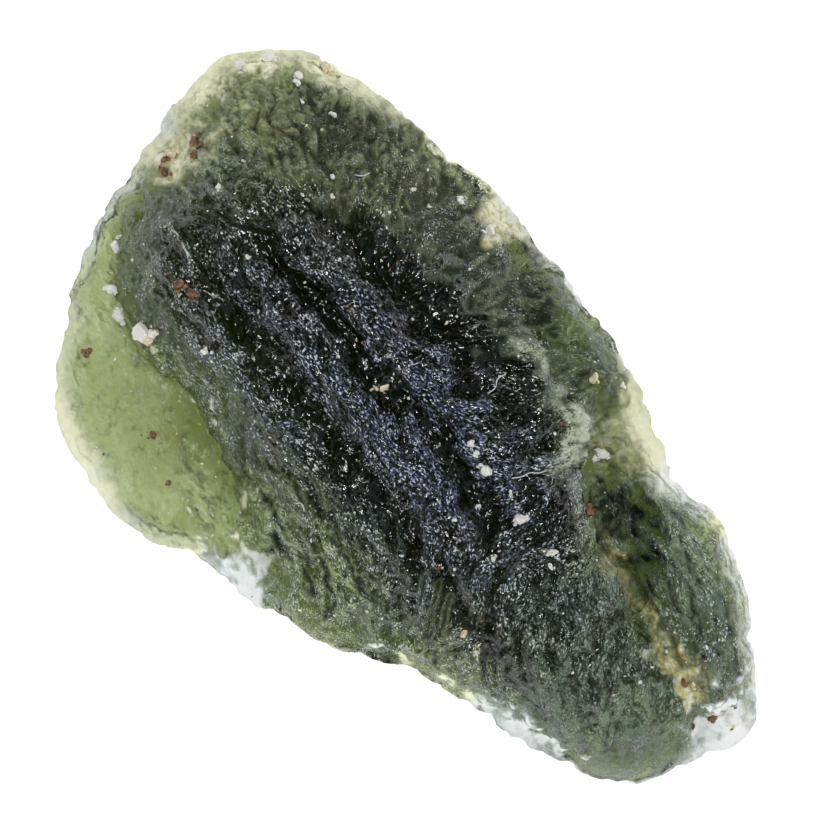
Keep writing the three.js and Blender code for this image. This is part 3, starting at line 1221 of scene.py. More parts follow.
@dataclass(frozen=True)
class Films:
    """The films on the glass: frost, the soil's stains and crust, and painted light: glints, a blue sheen,
    shade in hollows and cracks, highlights, and the glow of the thin rim.

    Marks say how strong a film is around a place, and patches and strokes add to it where they lie. Warm is
    how olive the film is, soft is how smooth the surface is, and glint is how many painted glints it has.
    Bare strokes keep the furrows clear of frost, so they stay dark: partly bare glass, partly painted shade.
    """

    sheet: Sheet
    relief: Relief
    rim: Rim
    frost_marks: tuple[Mark, ...] = (
        Mark((-0.5, 0.3), 0.06),
        Mark((1.5, 1.6), 0.04),
        Mark((-3.0, 3.8), 0.02),
        Mark((-5.8, 0.8), 0.04, 2.5),
        Mark((-6.0, 3.8), 0.14),
        Mark((0.5, -1.75), 0.34, 0.7),
        Mark((-2.5, -1.8), 0.24, 0.8),
        Mark((-9.3, 2.0), 0.5, 1.6),
        Mark((-8.8, -1.4), 0.16, 1.5),
        Mark((-4.5, -2.0), 0.2, 1.6),
        Mark((-6.4, -2.4), 0.2, 1.0),
        Mark((-6.2, -4.2), 0.42, 1.8),
        Mark((-4.4, -5.4), 0.40, 1.8),
        Mark((-8.2, -4.8), 0.34, 1.4),
        Mark((0.5, -2.8), 0.5, 1.4),
        Mark((0.8, -4.0), 0.8, 1.2),
        Mark((-1.6, -4.3), 0.9, 0.9),
        Mark((2.4, -3.4), 0.85, 0.9),
        Mark((3.3, -1.9), 0.05, 0.8),
        Mark((4.4, -0.6), 0.22, 1.4),
        Mark((4.8, -2.6), 0.6, 1.2),
        Mark((7.2, 0.9), 0.42, 1.6),
        Mark((8.4, -0.9), 1.2, 1.1),
        Mark((9.6, 0.2), 0.64, 1.6),
        Mark((7.6, 4.0), 0.62, 1.6),
        Mark((5.6, 4.8), 0.9, 0.8),
        Mark((5.0, 4.5), 0.85, 0.8),
        Mark((5.9, 4.1), 0.8, 0.8),
        Mark((6.6, 3.5), 1.15, 1.0),
        Mark((7.2, 5.2), 1.5, 1.2),
        Mark((10.4, 3.2), 0.9, 0.8),
        Mark((-1.6, 5.2), 0.0, 0.8),
        Mark((9.6, 3.4), 0.5, 1.4),
        Mark((1.0, 5.9), 0.25, 1.2),
        Mark((0.8, 6.6), 0.8, 0.8),
        Mark((3.8, 5.6), 0.08, 1.0),
        Mark((-2.0, 5.4), 0.05, 1.2),
        Mark((-4.4, 5.0), 0.08, 1.0),
        Mark((-6.3, 6.1), 0.5, 1.0),
        Mark((-7.6, 4.6), 0.06, 1.6),
    )
    # Painted glints: how many bright flecks stand in for glass catching the lamps around each place.
    glint_marks: tuple[Mark, ...] = (
        Mark((-1.0, 1.0), 1.0, 3.0),
        Mark((-5.5, 1.0), 0.8, 2.0),
        Mark((-2.6, 4.1), 0.5, 1.2),
        Mark((-3.8, 5.2), 0.8, 1.2),
        Mark((-6.2, 3.8), 0.8, 1.4),
        Mark((-7.5, 5.2), 0.4, 1.6),
        Mark((-5.8, -2.4), 1.4, 1.4),
        Mark((-9.0, 2.0), 0.45, 2.0),
        Mark((-5.5, -5.0), 0.25, 2.0),
        Mark((1.0, -3.0), 1.0, 1.8),
        Mark((-2.0, -1.8), 0.9, 1.2),
        Mark((4.6, -1.8), 1.0, 1.6),
        Mark((8.5, 0.2), 0.4, 2.0),
        Mark((7.5, 4.4), 1.0, 2.0),
        Mark((5.0, 4.6), 0.9, 0.8),
        Mark((0.5, 5.8), 0.3, 1.4),
        Mark((3.5, 5.6), 0.0, 1.0),
    )
    # Painted glints along the crests.
    crest_glints: tuple[Stroke, ...] = (
        Stroke(LEFT_SHINE, 0.16, 0.8),
        Stroke(LOBE_CREST, 0.2, 1.6),
        Stroke(((-4.2, -3.0), (-3.5, -3.1), (-2.5, -3.3), (-2.3, -3.8), (-1.0, -3.9)), 0.18, 1.4),
        Stroke(LEDGE_SHINE, 0.14, 0.8),
        Stroke(((1.5, 4.75), (2.1, 4.85), (2.7, 4.5), (3.1, 3.9)), 0.18, 1.5),
        Stroke(((-5.0, -0.5), (-2.0, -0.45), (1.5, -0.6)), 0.18, 0.5),
        Stroke(((0.6, 1.25), (1.5, 1.05), (2.2, 1.2)), 0.3, 0.4),
        Stroke(((-7.1, 1.8), (-6.4, 1.7), (-5.8, 1.62)), 0.1, 1.3),
        Stroke(((-1.3, 0.5), (-0.8, 0.6)), 0.12, 1.2),
        Stroke(((-1.6, 2.1), (-0.9, 1.95)), 0.14, 0.9),
        Stroke(((4.0, -1.5), (4.6, -1.45), (4.9, -1.6)), 0.1, 1.4),
        Stroke(((-2.1, -1.35), (-1.6, -1.3)), 0.16, 1.4),
    )
    warm_marks: tuple[Mark, ...] = (
        Mark((-1.0, 1.0), 0.0, 3.0),
        Mark((-6.0, 0.6), 0.15, 2.0),
        Mark((-8.5, 3.8), 0.95, 2.0),
        Mark((-6.5, 5.6), 1.0, 1.8),
        Mark((-4.5, 5.2), 0.5, 1.0),
        Mark((-10.4, 4.0), 1.0, 1.6),
        Mark((-9.6, 1.4), 0.6, 1.4),
        Mark((-9.0, -1.5), 0.5, 1.6),
        Mark((-5.5, -5.0), 1.0, 2.4),
        Mark((-9.2, -5.0), 1.0, 1.2),
        Mark((-6.0, -6.8), 1.0, 1.4),
        Mark((0.8, -3.6), 1.0, 1.3),
        Mark((-1.8, -4.2), 1.0, 1.0),
        Mark((-2.2, -3.4), 0.9, 1.0),
        Mark((-1.2, -2.6), 0.7, 0.8),
        Mark((1.5, -2.8), 0.8, 0.8),
        Mark((0.8, -1.7), 0.15, 0.7),
        Mark((3.2, -2.2), 0.5, 0.8),
        Mark((4.8, -2.4), 0.9, 1.2),
        Mark((8.0, 0.3), 0.1, 2.4),
        Mark((7.5, 4.0), 0.22, 2.0),
        Mark((7.0, 5.3), 0.55, 0.8),
        Mark((3.5, 5.6), 1.0, 1.2),
        Mark((5.0, 4.6), 0.1, 0.9),
        Mark((2.2, 4.2), 0.5, 0.8),
        Mark((4.6, 2.7), 0.8, 0.8),
        Mark((-0.4, -5.3), 0.0, 0.8),
        Mark((7.6, -2.1), 0.0, 0.8),
        Mark((11.0, 2.2), 0.0, 0.8),
        Mark((11.6, 3.6), 0.6, 0.8),
        Mark((-1.0, 5.8), 0.5, 1.6),
    )
    # Painted blue sheen: the reflection of the cool overhead light on the crests.
    blue_sheen_marks: tuple[Mark, ...] = (
        Mark((-1.0, 2.0), 0.42, 1.0),
        Mark((0.0, 0.1), 0.40, 1.0),
        Mark((-0.5, 1.5), 0.34, 0.8),
        Mark((2.4, 1.9), 0.30, 1.0),
        Mark((1.5, 1.15), 0.35, 0.5),
        Mark((-3.4, 0.9), 0.26, 1.4),
        Mark((-3.0, 2.4), 0.26, 1.2),
        Mark((-6.0, 1.0), 0.20, 1.8),
        Mark((3.0, 0.0), 0.22, 1.4),
        Mark((-2.8, 4.2), 0.02, 1.2),
        Mark((-4.4, 4.6), 0.02, 1.0),
        Mark((-6.2, 3.6), 0.10, 1.6),
        Mark((-8.8, 1.0), 0.08, 1.6),
        Mark((-0.5, -1.0), 0.05, 0.7),
        Mark((-4.6, -2.1), 0.22, 1.4),
        Mark((5.6, 0.8), 0.10, 1.6),
        Mark((9.0, 0.4), 0.0, 1.8),
        Mark((0.8, -3.2), 0.04, 1.6),
        Mark((4.8, -2.2), 0.04, 1.4),
        Mark((-5.5, -5.0), 0.0, 2.4),
        Mark((0.0, 5.8), 0.04, 1.4),
        Mark((7.0, 4.5), 0.04, 2.0),
    )
    soft_marks: tuple[Mark, ...] = (
        Mark((-5.5, -5.0), 0.8, 2.4),
        Mark((-8.6, -4.4), 0.8, 1.6),
        Mark((-11.0, 1.0), 0.5, 2.0),
        Mark((-8.5, 5.4), 0.5, 2.0),
        Mark((-6.0, 1.0), 0.0, 3.0),
        Mark((-1.0, 1.0), 0.0, 3.0),
        Mark((-5.0, -2.0), 0.1, 1.4),
        Mark((4.0, -1.0), 0.1, 2.0),
        Mark((0.0, -3.2), 0.2, 1.2),
        Mark((-3.0, 5.0), 0.0, 1.6),
        Mark((8.8, 0.2), 0.35, 2.0),
        Mark((3.6, 5.6), 0.8, 1.2),
        Mark((0.6, 6.2), 0.4, 1.2),
        Mark((7.0, 4.5), 0.15, 2.0),
    )
    # Furrows kept clear of frost, so they stay dark: partly bare glass, partly painted shade.
    bare_strokes: tuple[Stroke, ...] = (
        Stroke(FRONT_FURROW, 0.2, 0.85),
        Stroke(((-6.2, 3.2), (-4.0, 3.1), (-1.5, 3.2), (-0.2, 3.0)), 0.18, 0.75),
        Stroke(((-6.4, 1.15), (-3.5, 1.05), (-1.0, 1.35)), 0.2, 0.7),
        Stroke(((-1.0, 1.35), *FURROW_BEND), 0.12, 0.3),
        Stroke(((-3.2, 3.3), (-3.0, 4.0), (-3.1, 4.6)), 0.22, 0.9),
        Stroke(((-2.2, 3.3), (-1.9, 4.0), (-1.6, 4.5)), 0.2, 0.9),
        Stroke(((-4.2, 3.2), (-4.6, 4.0), (-5.0, 4.6)), 0.2, 0.7),
        Stroke(((-1.2, 3.2), (-0.8, 3.8), (-0.2, 4.2)), 0.2, 0.7),
        Stroke(((-5.4, 3.2), (-5.8, 3.9), (-6.6, 4.5)), 0.2, 0.6),
        Stroke(((0.4, 2.6), (0.9, 3.1), (1.5, 3.7)), 0.16, 0.7),
        Stroke(((3.2, 2.9), (3.6, 2.2), (3.9, 1.6)), 0.16, 0.6),
        Stroke(((-2.0, -0.9), (-1.0, -1.3), (0.4, -1.5)), 0.2, 0.6),
        Stroke(((2.9, -1.1), (3.6, -1.8), (4.2, -2.6)), 0.16, 0.6),
        Stroke(((1.0, -1.4), (2.0, -2.0), (3.0, -3.2)), 0.16, 0.6),
    )
    pale_strokes: tuple[Stroke, ...] = (
        Stroke(((-0.4, 4.6), (0.0, 4.7), (0.35, 4.55)), 0.28, 0.8),
        Stroke(((1.3, 4.35), (2.1, 4.4), (2.5, 4.2), (2.7, 3.8)), 0.38, 0.95),
        Stroke(((2.3, 3.9), (2.6, 3.5), (2.8, 3.1)), 0.38, 0.65),
        Stroke(((2.0, 4.7), (2.4, 4.65), (2.8, 4.35), (2.95, 4.0)), 0.12, 0.9),
        Stroke(((3.0, 3.4), (3.6, 3.2), (4.0, 2.85)), 0.18, 0.35),
        Stroke(((4.0, 2.8), (5.2, 2.7), (5.8, 2.95), (6.0, 3.5)), 0.14, 0.1),
    )
    # Soil stains and painted shade in the pit, on the shelf under the lip and in other hollows.
    stain_and_shade_patches: tuple[Patch, ...] = (
        Patch((4.9, 3.5), 1.05, 0.6),
        Patch((5.5, 3.9), 0.7, 0.35),
        Patch((4.3, 3.6), 0.6, 0.4),
        Patch((4.6, 4.6), 0.7, 0.15),
        Patch((3.6, 3.95), 0.55, 0.5),
        Patch((4.9, 2.95), 0.5, 0.5),
        Patch((1.0, 5.1), 0.6, 0.35),
        Patch((-1.6, 5.3), 1.3, 1.6),
        Patch((1.2, 5.4), 1.2, 0.5),
        Patch((3.2, 4.7), 0.4, 0.45),
        Patch((-3.5, 5.1), 1.1, 1.5),
        Patch((-4.9, 5.1), 1.3, 1.6),
        Patch((-7.0, 4.9), 1.8, 1.3),
        Patch((-8.7, 4.0), 1.7, 1.1),
    )
    # Dark lines along cracks and folds, a painted shadow below the lobe's crest, and painted shade on the
    # steep band above it.
    stain_and_shade_strokes: tuple[Stroke, ...] = (
        Stroke(((0.6, 5.2), (1.6, 5.15), (2.5, 4.95), (3.1, 4.4)), 0.2, 0.5),
        Stroke(((5.9, 3.3), (7.0, 2.98), (8.0, 2.78), (9.0, 2.6)), 0.10, 1.3),
        *redrawn(FRONT_FOLDS, 1.9),
        Stroke(((-2.5, -2.1), (-1.4, -1.95), (-0.4, -2.05)), 0.08, 1.6),
        Stroke(((3.6, -1.2), (4.1, -1.9), (4.6, -2.5)), 0.10, 1.6),
        Stroke(((2.6, -1.4), (3.0, -1.9), (3.3, -2.6)), 0.10, 1.6),
        Stroke(((6.0, 4.35), (7.0, 4.3), (8.2, 3.95), (9.4, 3.4)), 0.09, 1.3),
        Stroke(((6.0, 3.95), (7.2, 3.85), (8.4, 3.5), (9.8, 2.95)), 0.09, 1.3),
        Stroke(((6.1, 3.6), (7.2, 3.45), (8.4, 3.1), (9.4, 2.75)), 0.09, 1.3),
        Stroke(((5.6, 4.85), (6.8, 4.85), (8.0, 4.5), (9.2, 3.95), (10.4, 3.2)), 0.11, 1.4),
        Stroke(((6.2, 5.3), (7.2, 5.2), (8.2, 4.85), (9.4, 4.2)), 0.07, 1.1),
        Stroke(((-7.0, -3.6), (-5.6, -3.35), (-4.2, -3.45), (-3.2, -3.7)), 0.35, 0.3),
        Stroke(((-8.6, -2.2), (-7.0, -2.5), (-5.5, -2.2), (-4.2, -2.5), (-3.2, -2.8)), 0.5, 0.95),
    )
    tan_marks: tuple[Mark, ...] = (
        Mark((-8.2, 4.6), 0.04, 1.8),
        Mark((-6.2, 5.8), 0.10, 1.6),
        Mark((-10.4, 3.0), 0.25, 1.2),
        Mark((-9.8, -0.5), 0.0, 2.0),
        Mark((-3.0, 3.0), 0.0, 3.0),
        Mark((-3.5, -3.0), 0.0, 3.0),
        Mark((6.0, 0.0), 0.0, 4.0),
    )
    tan_strokes: tuple[Stroke, ...] = (
        Stroke(((5.8, 2.8), (6.4, 2.72), (7.4, 2.5), (8.4, 2.3)), 0.28, 0.75),
        Stroke(((5.9, 3.0), (6.8, 2.72), (7.7, 2.5), (8.6, 2.3)), 0.10, 0.5),
        Stroke(((8.4, 2.35), (9.2, 2.15), (10.2, 1.98)), 0.17, 0.95),
        Stroke(((8.9, 2.62), (9.7, 2.42)), 0.12, 0.6),
        Stroke(((4.2, 3.05), (5.2, 2.92), (5.9, 3.02)), 0.10, 0.35),
    )
    cream_patches: tuple[Patch, ...] = (
        Patch((9.3, 2.3), 0.4, 1.3),
        Patch((9.9, 2.0), 0.36, 1.3),
        Patch((8.4, 2.4), 0.2, 0.5),
        Patch((5.1, -1.7), 0.22, 0.6),
        Patch((3.6, 5.5), 1.3, 0.4),
        Patch((-10.0, 2.15), 0.35, 0.35),
        Patch((-10.6, 1.0), 0.9, 0.6),
        Patch((-10.3, 0.2), 0.5, 0.5),
        Patch((-3.5, 6.7), 0.8, 0.9),
        Patch((-9.5, 5.3), 0.4, 0.4),
        Patch((-11.0, 4.4), 0.25, 0.6),
    )
    # Painted highlights on fresh chips and bright edges, with some pale crust.
    white_patches: tuple[Patch, ...] = (
        Patch((10.9, 2.4), 0.8, 1.3),
        Patch((11.3, 1.8), 0.6, 1.2),
        Patch((-3.6, 6.8), 0.8, 0.2),
        Patch((-0.85, -4.75), 0.32, 1.0),
        Patch((-0.3, -5.15), 0.6, 0.9),
        Patch((-0.1, -5.45), 0.2, 1.0),
        Patch((-1.75, -5.35), 0.17, 1.1),
        Patch((-2.9, -5.2), 0.14, 0.7),
        Patch((7.6, -2.0), 0.7, 1.0),
        Patch((6.3, -2.45), 0.4, 0.6),
        Patch((8.6, -1.75), 0.3, 0.9),
        Patch((-10.9, 4.4), 0.4, 0.5),
        Patch((-11.2, 2.2), 0.6, 0.3),
        Patch((10.4, 3.0), 0.6, 0.55),
        Patch((-9.75, 5.4), 0.22, 0.9),
    )
    # Painted highlights: thin bright lines along the crests.
    crest_highlight_strokes: tuple[Stroke, ...] = (
        Stroke(LEFT_SHINE, 0.05, 0.55),
        Stroke(LOBE_CREST, 0.06, 0.7),
        Stroke(((-4.2, -3.0), (-3.5, -3.1), (-2.6, -3.2)), 0.06, 0.5),
        Stroke(((-2.35, -3.65), (-2.2, -3.9), (-1.9, -3.98)), 0.07, 0.9),
        Stroke(LEDGE_SHINE, 0.05, 0.6),
        Stroke(((1.9, 4.72), (2.4, 4.66), (2.75, 4.4), (2.92, 4.05)), 0.05, 0.7),
        Stroke(((3.3, 3.4), (3.6, 3.33), (3.95, 3.02)), 0.04, 0.5),
        Stroke(CLAW, 0.07, 1.1),
        Stroke(((5.0, -2.8), (5.8, -2.6), (6.4, -2.5)), 0.08, 0.9),
        Stroke(((8.2, -1.9), (8.5, -1.62), (8.9, -1.7)), 0.07, 1.0),
    )
    # Painted glow of the thin rim, lit through from the ground: how strong around each place.
    rim_glow_marks: tuple[Mark, ...] = (
        Mark((-11.5, 2.0), 0.8, 2.0),
        Mark((-10.4, -2.4), 0.55, 1.5),
        Mark((-9.6, 5.6), 0.8, 2.0),
        Mark((-6.0, 6.5), 0.2, 2.0),
        Mark((-3.0, 6.8), 0.4, 1.5),
        Mark((0.8, 6.8), 0.3, 1.5),
        Mark((3.5, 6.2), 1.0, 1.2),
        Mark((7.0, 5.6), 0.6, 1.5),
        Mark((10.5, 4.0), 0.5, 1.5),
        Mark((11.7, 1.8), 0.8, 1.0),
        Mark((10.4, -1.2), 0.12, 1.5),
        Mark((7.8, -2.3), 0.75, 1.0),
        Mark((5.0, -3.0), 0.35, 1.3),
        Mark((2.0, -4.8), 0.2, 1.5),
        Mark((-0.6, -5.8), 0.6, 1.0),
        Mark((-3.2, -6.6), 0.6, 1.2),
        Mark((-6.2, -6.6), 1.0, 1.6),
        Mark((-9.0, -4.6), 0.6, 2.0),
    )
    # How far the painted rim glow reaches inward, and how strong it is at the outline itself.
    rim_glow_reach: float = 1.1
    edge_glow: float = 0.9
    even_frost: float = 0.5
    landform_mm: float = 0.3
    nodule_mm: float = 0.09
    ripple_mm: float = 0.7
    ripple_share: float = 0.75

    def strengths(self, height: np.ndarray, inset: np.ndarray) -> dict[str, np.ndarray]:
        """Works out where each film lies on the top, and how thick.

        Args:
            height: the top's relief.
            inset: how far inside the outline each place lies.

        Returns:
            The strength of each film at each place.
        """
        sheet = self.sheet
        flow = self.relief.flow(Side.TOP)
        # Crests of the relief: films lie heavier on them and thinner in the hollows, partly real wear, partly
        # painted shade.
        wide = smooth_step(-0.12, 0.06, height - sheet.blurred(height, self.landform_mm))
        close = smooth_step(-0.05, 0.03, height - sheet.blurred(height, self.nodule_mm))
        inner = 0.35 + 0.65 * smooth_step(0.2, 1.3, inset / self.rim.width())
        soft = sheet.spread(self.soft_marks)
        bare, crack_shade = self._cracks()
        thread = sheet.drawn_out(sheet.clouds(0.12, Pattern.THREAD), flow, 0.7)
        crests = sheet.strokes(self.crest_glints, 0.06, Pattern.CRESTS)
        glint = sheet.spread(self.glint_marks) * (0.1 + 0.9 * wide) * bare
        tan = sheet.strokes(self.tan_strokes, 0.16, Pattern.TAN) + sheet.spread(self.tan_marks)
        pale = sheet.strokes(self.pale_strokes, 0.12, Pattern.PALE)
        return {
            "frost": self._frost(wide * close, soft) * inner * bare,
            "glint": (glint + crests) * inner,
            "warm": sheet.spread(self.warm_marks) + 0.15 * sheet.clouds(1.0, Pattern.WARMTH),
            "blue_sheen": sheet.spread(self.blue_sheen_marks) * wide * (0.15 + 0.85 * close) * inner * bare,
            "stain_and_shade": self._stain_and_shade(crack_shade, thread) * (1.0 - 0.35 * close),
            "pale": pale * (0.35 + 0.8 * close) * (1.0 - 0.7 * crack_shade),
            "tan": tan * (0.35 + 0.65 * close),
            "cream": sheet.patches(self.cream_patches, 0.25, Pattern.CREAM),
            "soft": soft,
            "white": self._white(inset, thread),
        }

    def _cracks(self) -> tuple[np.ndarray, np.ndarray]:
        """Finds where furrows and cracks keep the glass bare, and where shade is painted along the cracks.

        Returns:
            The share of the film that is left, and the strength of the painted shade along the cracks.
        """
        bare = 1.0 - np.clip(self.sheet.strokes(self.bare_strokes, 0.10, Pattern.BARE), 0.0, 1.0)
        crack_shade = np.zeros(self.sheet.x.shape)
        for depth, streak in self.relief.crack_lines(Side.TOP):
            bare *= 1.0 - np.clip(8.0 * depth, 0.0, 0.9) * np.exp(-np.abs(streak) / 0.13)
            crack_shade = np.maximum(crack_shade, np.clip(12.0 * depth, 0.0, 1.0) * np.exp(-np.abs(streak) / 0.3))
        return bare, crack_shade

    def _frost(self, crests: np.ndarray, soft: np.ndarray) -> np.ndarray:
        """Lays frost, even where there is little of it and on the crests where there is more: partly real
        wear, partly painted shade that leaves the hollows darker.

        Args:
            crests: where the relief stands out, from 0 to 1.
            soft: where the surface is smooth, from 0 to 1.

        Returns:
            The strength of the frost at each place.
        """
        amount = self.sheet.spread(self.frost_marks)
        even = np.clip(amount, 0.0, self.even_frost)
        patchy = 1.0 + 0.2 * self.sheet.clouds(1.3, Pattern.FROST_DRIFTS)
        patchy += (0.1 + 0.5 * soft) * self.sheet.clouds(0.3, Pattern.FROST_MOTTLE)
        return amount * (even + (1.0 - even) * crests) * patchy

    def _stain_and_shade(self, crack_shade: np.ndarray, thread: np.ndarray) -> np.ndarray:
        """Lays soil stains and painted shade: patches that are darkest along the cracks, where the shade is
        painted, and streaky lines.

        Args:
            crack_shade: how strong the painted shade along the cracks is.
            thread: a fine streaky pattern.

        Returns:
            The strength of the stains and painted shade at each place.
        """
        patches = self.sheet.patches(self.stain_and_shade_patches, 0.25, Pattern.STAIN_PATCHES)
        lines = self.sheet.strokes(self.stain_and_shade_strokes, 0.08, Pattern.STAIN_LINES)
        return patches * (0.6 + 1.2 * crack_shade) + lines * smooth_step(-1.1, 0.1, thread)

    def _white(self, inset: np.ndarray, thread: np.ndarray) -> np.ndarray:
        """Lays white: painted highlights on fresh chips, with some pale crust, and along the crests, and the
        painted glow of the thin rim.

        Args:
            inset: how far inside the outline each place lies.
            thread: a fine streaky pattern.

        Returns:
            The strength of the white at each place.
        """
        sheet = self.sheet
        uneven = sheet.clouds(0.3, Pattern.FINE_RIM) + sheet.clouds(1.1, Pattern.COARSE_RIM)
        ragged = inset + 0.03 * uneven
        # The painted glow of the thin rim, where light from the ground comes through.
        rim_glow = sheet.spread(self.rim_glow_marks)
        band = self.rim_glow_reach * (0.35 + rim_glow)
        chips = sheet.patches(self.white_patches, 0.3, Pattern.WHITE)
        crest_highlight = sheet.strokes(self.crest_highlight_strokes, 0.05, Pattern.CRESTS)
        white = chips * (0.4 + 0.6 * smooth_step(-0.9, 0.4, thread))
        white += crest_highlight * smooth_step(-1.0, 0.6, thread)
        white += rim_glow * (1.0 - smooth_step(0.0, 1.0, ragged / band))
        return np.maximum(white, self.edge_glow * (1.0 - smooth_step(0.02, 0.24, ragged)))

    def ripples(self, points: np.ndarray) -> np.ndarray:
        """Finds the level ripples that white leaves open where it lies on a steep wall.

        Args:
            points: the stone's points.

        Returns:
            The open share at each point.
        """
        x, y, z = points.T
        waves = self.sheet.read(self.sheet.clouds(self.ripple_mm, Pattern.RIPPLES), x + y, 3.0 * z - 7.0)
        return self.ripple_share * smooth_step(-0.2, 0.5, waves)


# ---------------------------------------------------------------- the stone


@dataclass
class Stone:
    """The moldavite: the frame's solid, thinned at its rim, hollowed under its lip, and etched all over."""

    facet_mm: float = 0.055
    smoothings: int = 12
    triangles: int = 195000
    turn_of_side: tuple[float, float] = (-0.25, 0.25)
    rim_calm: float = 0.85
    clear_of_ground: float = 0.4
    sheet: Sheet = field(default_factory=lambda: Sheet(26.0, 16.0))
    lip: Lip = field(default_factory=Lip)
    relief: Relief = field(init=False)
    rim: Rim = field(init=False)
    films: Films = field(init=False)
    piece: bpy.types.Object = field(init=False)
    tree: BVHTree = field(init=False)

    def __post_init__(self) -> None:
        """Makes the parts that are drawn on the sheet."""
        self.relief = Relief(self.sheet)
        self.rim = Rim(self.sheet)
        self.films = Films(self.sheet, self.relief, self.rim)

    def build(self) -> bpy.types.Object:
        """Makes the stone.

        Returns:
            The stone, in millimetres until the dress method sets it in the frame.
        """
        self.piece = self._copy_of_frame()
        add_modifier(self.piece, "SUBSURF", levels=2, render_levels=2)
        add_modifier(self.piece, "REMESH", mode="VOXEL", voxel_size=self.facet_mm)
        add_modifier(self.piece, "SMOOTH", factor=0.5, iterations=self.smoothings)
        self.rim.nibble(self.piece)
        inset = self.rim.inset(self.piece)
        self.rim.draw_out(self.piece, inset)
        self.lip.hang(self.piece)
        height = self.relief.height(Side.TOP)
        self._etch(height, inset)
        self._thin_out()
        self._keep_attributes(height, inset)
        pick(self.piece)
        bpy.ops.object.shade_smooth()
        self.tree = faces_of(self.piece)
        return self.piece

    def _copy_of_frame(self) -> bpy.types.Object:
        """Copies the frame's solid, in millimetres, with its loose triangles merged.

        Returns:
            The copy.
        """
        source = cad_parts[NODE]
        copy = bpy.data.objects.new("raw_moldavite", source.data.copy())
        bpy.context.scene.collection.objects.link(copy)
        copy.data.materials.clear()
        copy.data.transform(Matrix.Scale(1.0 / MM, 4))
        pick(copy)
        bpy.ops.object.mode_set(mode="EDIT")
        bpy.ops.mesh.select_all(action="SELECT")
        bpy.ops.mesh.remove_doubles(threshold=0.001)
        bpy.ops.object.mode_set(mode="OBJECT")
        return copy

    def _etch(self, height: np.ndarray, inset: np.ndarray) -> None:
        """Moves every point by the relief of its own side, less at the rim, and never below the ground.

        Args:
            height: the top's relief.
            inset: how far inside the outline each place lies.
        """
        points = points_of(self.piece)
        normals = normals_of(self.piece)
        x, y, z = points.T
        top = smooth_step(*self.turn_of_side, normals[:, 2])
        moved = top * self.sheet.read(height, x, y)
        moved += (1.0 - top) * self.sheet.read(self.relief.height(Side.UNDER), x, y)
        away_from_rim = smooth_step(0.0, 0.8, self.sheet.read(inset, x, y))
        moved *= 1.0 - self.rim_calm + self.rim_calm * away_from_rim
        raised = moved * np.clip(z / self.clear_of_ground, 0.0, 1.0)
        points += normals * np.where(moved < 0, moved, raised)[:, None]
        points[:, 2] = np.maximum(points[:, 2], 0.0)
        move_points(self.piece, points)

    def _thin_out(self) -> None:
        """Takes triangles away where the surface needs them least."""
        add_modifier(self.piece, "DECIMATE", ratio=self.triangles / triangles_in(self.piece))

    def _keep_attributes(self, height: np.ndarray, inset: np.ndarray) -> None:
        """Stores the flow and the films at each point, for the glass to read.

        Args:
            height: the top's relief.
            inset: how far inside the outline each place lies.
        """
        sheet = self.sheet
        points = points_of(self.piece)
        x, y = points[:, 0], points[:, 1]
        up = normals_of(self.piece)[:, 2]
        inside = sheet.read(inset, x, y)
        top = smooth_step(*self.turn_of_side, up)
        brink = 1.0 - smooth_step(0.0, 0.15, inside)
        steep = (1.0 - smooth_step(0.3, 0.8, up)) * smooth_step(0.1, 0.35, inside)
        films = self.films.strengths(height, inset)
        thin = smooth_step(0.2, 0.5, sheet.read(films["soft"], x, y))
        # The underside gets even frost, painted glints and an olive tint.
        under = {"frost": 0.06 + 0.20 * (1.0 - thin), "glint": 0.3, "warm": 0.6}
        for name, values in films.items():
            numbers = np.clip(sheet.read(values, x, y), 0.0, 1.0)
            seen = top
            # White holds the painted glow of the thin rim, so it shows at the brink of the underside too.
            if name == "white":
                numbers *= 1.0 - steep * self.films.ripples(points)
                seen = np.maximum(top, brink)
            self._store(name, "FLOAT", "value", numbers * seen + under.get(name, 0.0) * (1.0 - seen))
        cosine, sine = self.relief.flow(Side.TOP)
        flow = [sheet.read(cosine, x, y), sheet.read(sine, x, y), np.zeros(len(x))]
        self._store("flow", "FLOAT_VECTOR", "vector", np.stack(flow, axis=1))

    def _store(self, name: str, kind: str, slot: str, numbers: np.ndarray) -> None:
        """Writes one attribute of the stone's points.

        Args:
            name: the attribute's name.
            kind: what it holds at each point.
            slot: Blender's name for what is written.
            numbers: the numbers, point by point.
        """
        store = self.piece.data.attributes.new(name, kind, "POINT")
        store.data.foreach_set(slot, numbers.astype(np.float32).ravel())

    def surface(self, x: float, y: float) -> tuple[Vector, Vector]:
        """Finds the top surface above a place.

        Args:
            x: the place, along X, in millimetres.
            y: the place, along Y.

        Returns:
            The point on the surface and its outward direction.
        """
        point, normal, _, _ = self.tree.ray_cast(Vector((x, y, 20.0)), Vector((0.0, 0.0, -1.0)))
        if point is None:
            raise ValueError(f"no stone under ({x:.2f}, {y:.2f})")
        return point, normal

    def dress(self) -> None:
        """Gives the stone its glass, and sets it in the frame."""
        self.piece.data.materials.append(EtchedGlass().build())
        set_in_frame(self.piece)
        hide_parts(NODE)


def set_in_frame(piece: bpy.types.Object) -> None:
    """Brings a piece from millimetres to metres and lets it ride on the stone's body.

    Args:
        piece: the piece, with its place in its mesh.
    """
    piece.data.transform(Matrix.Scale(MM, 4))
    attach(piece, BODY)
    log.info("%s: %d triangles", piece.name, triangles_in(piece))


# ---------------------------------------------------------------- what lies on the stone


@dataclass(frozen=True)
class Grain:
    """One grain: where it lies, how wide it is, and how long for its width."""

    at: Place
    width: float
    long: float = 1.0


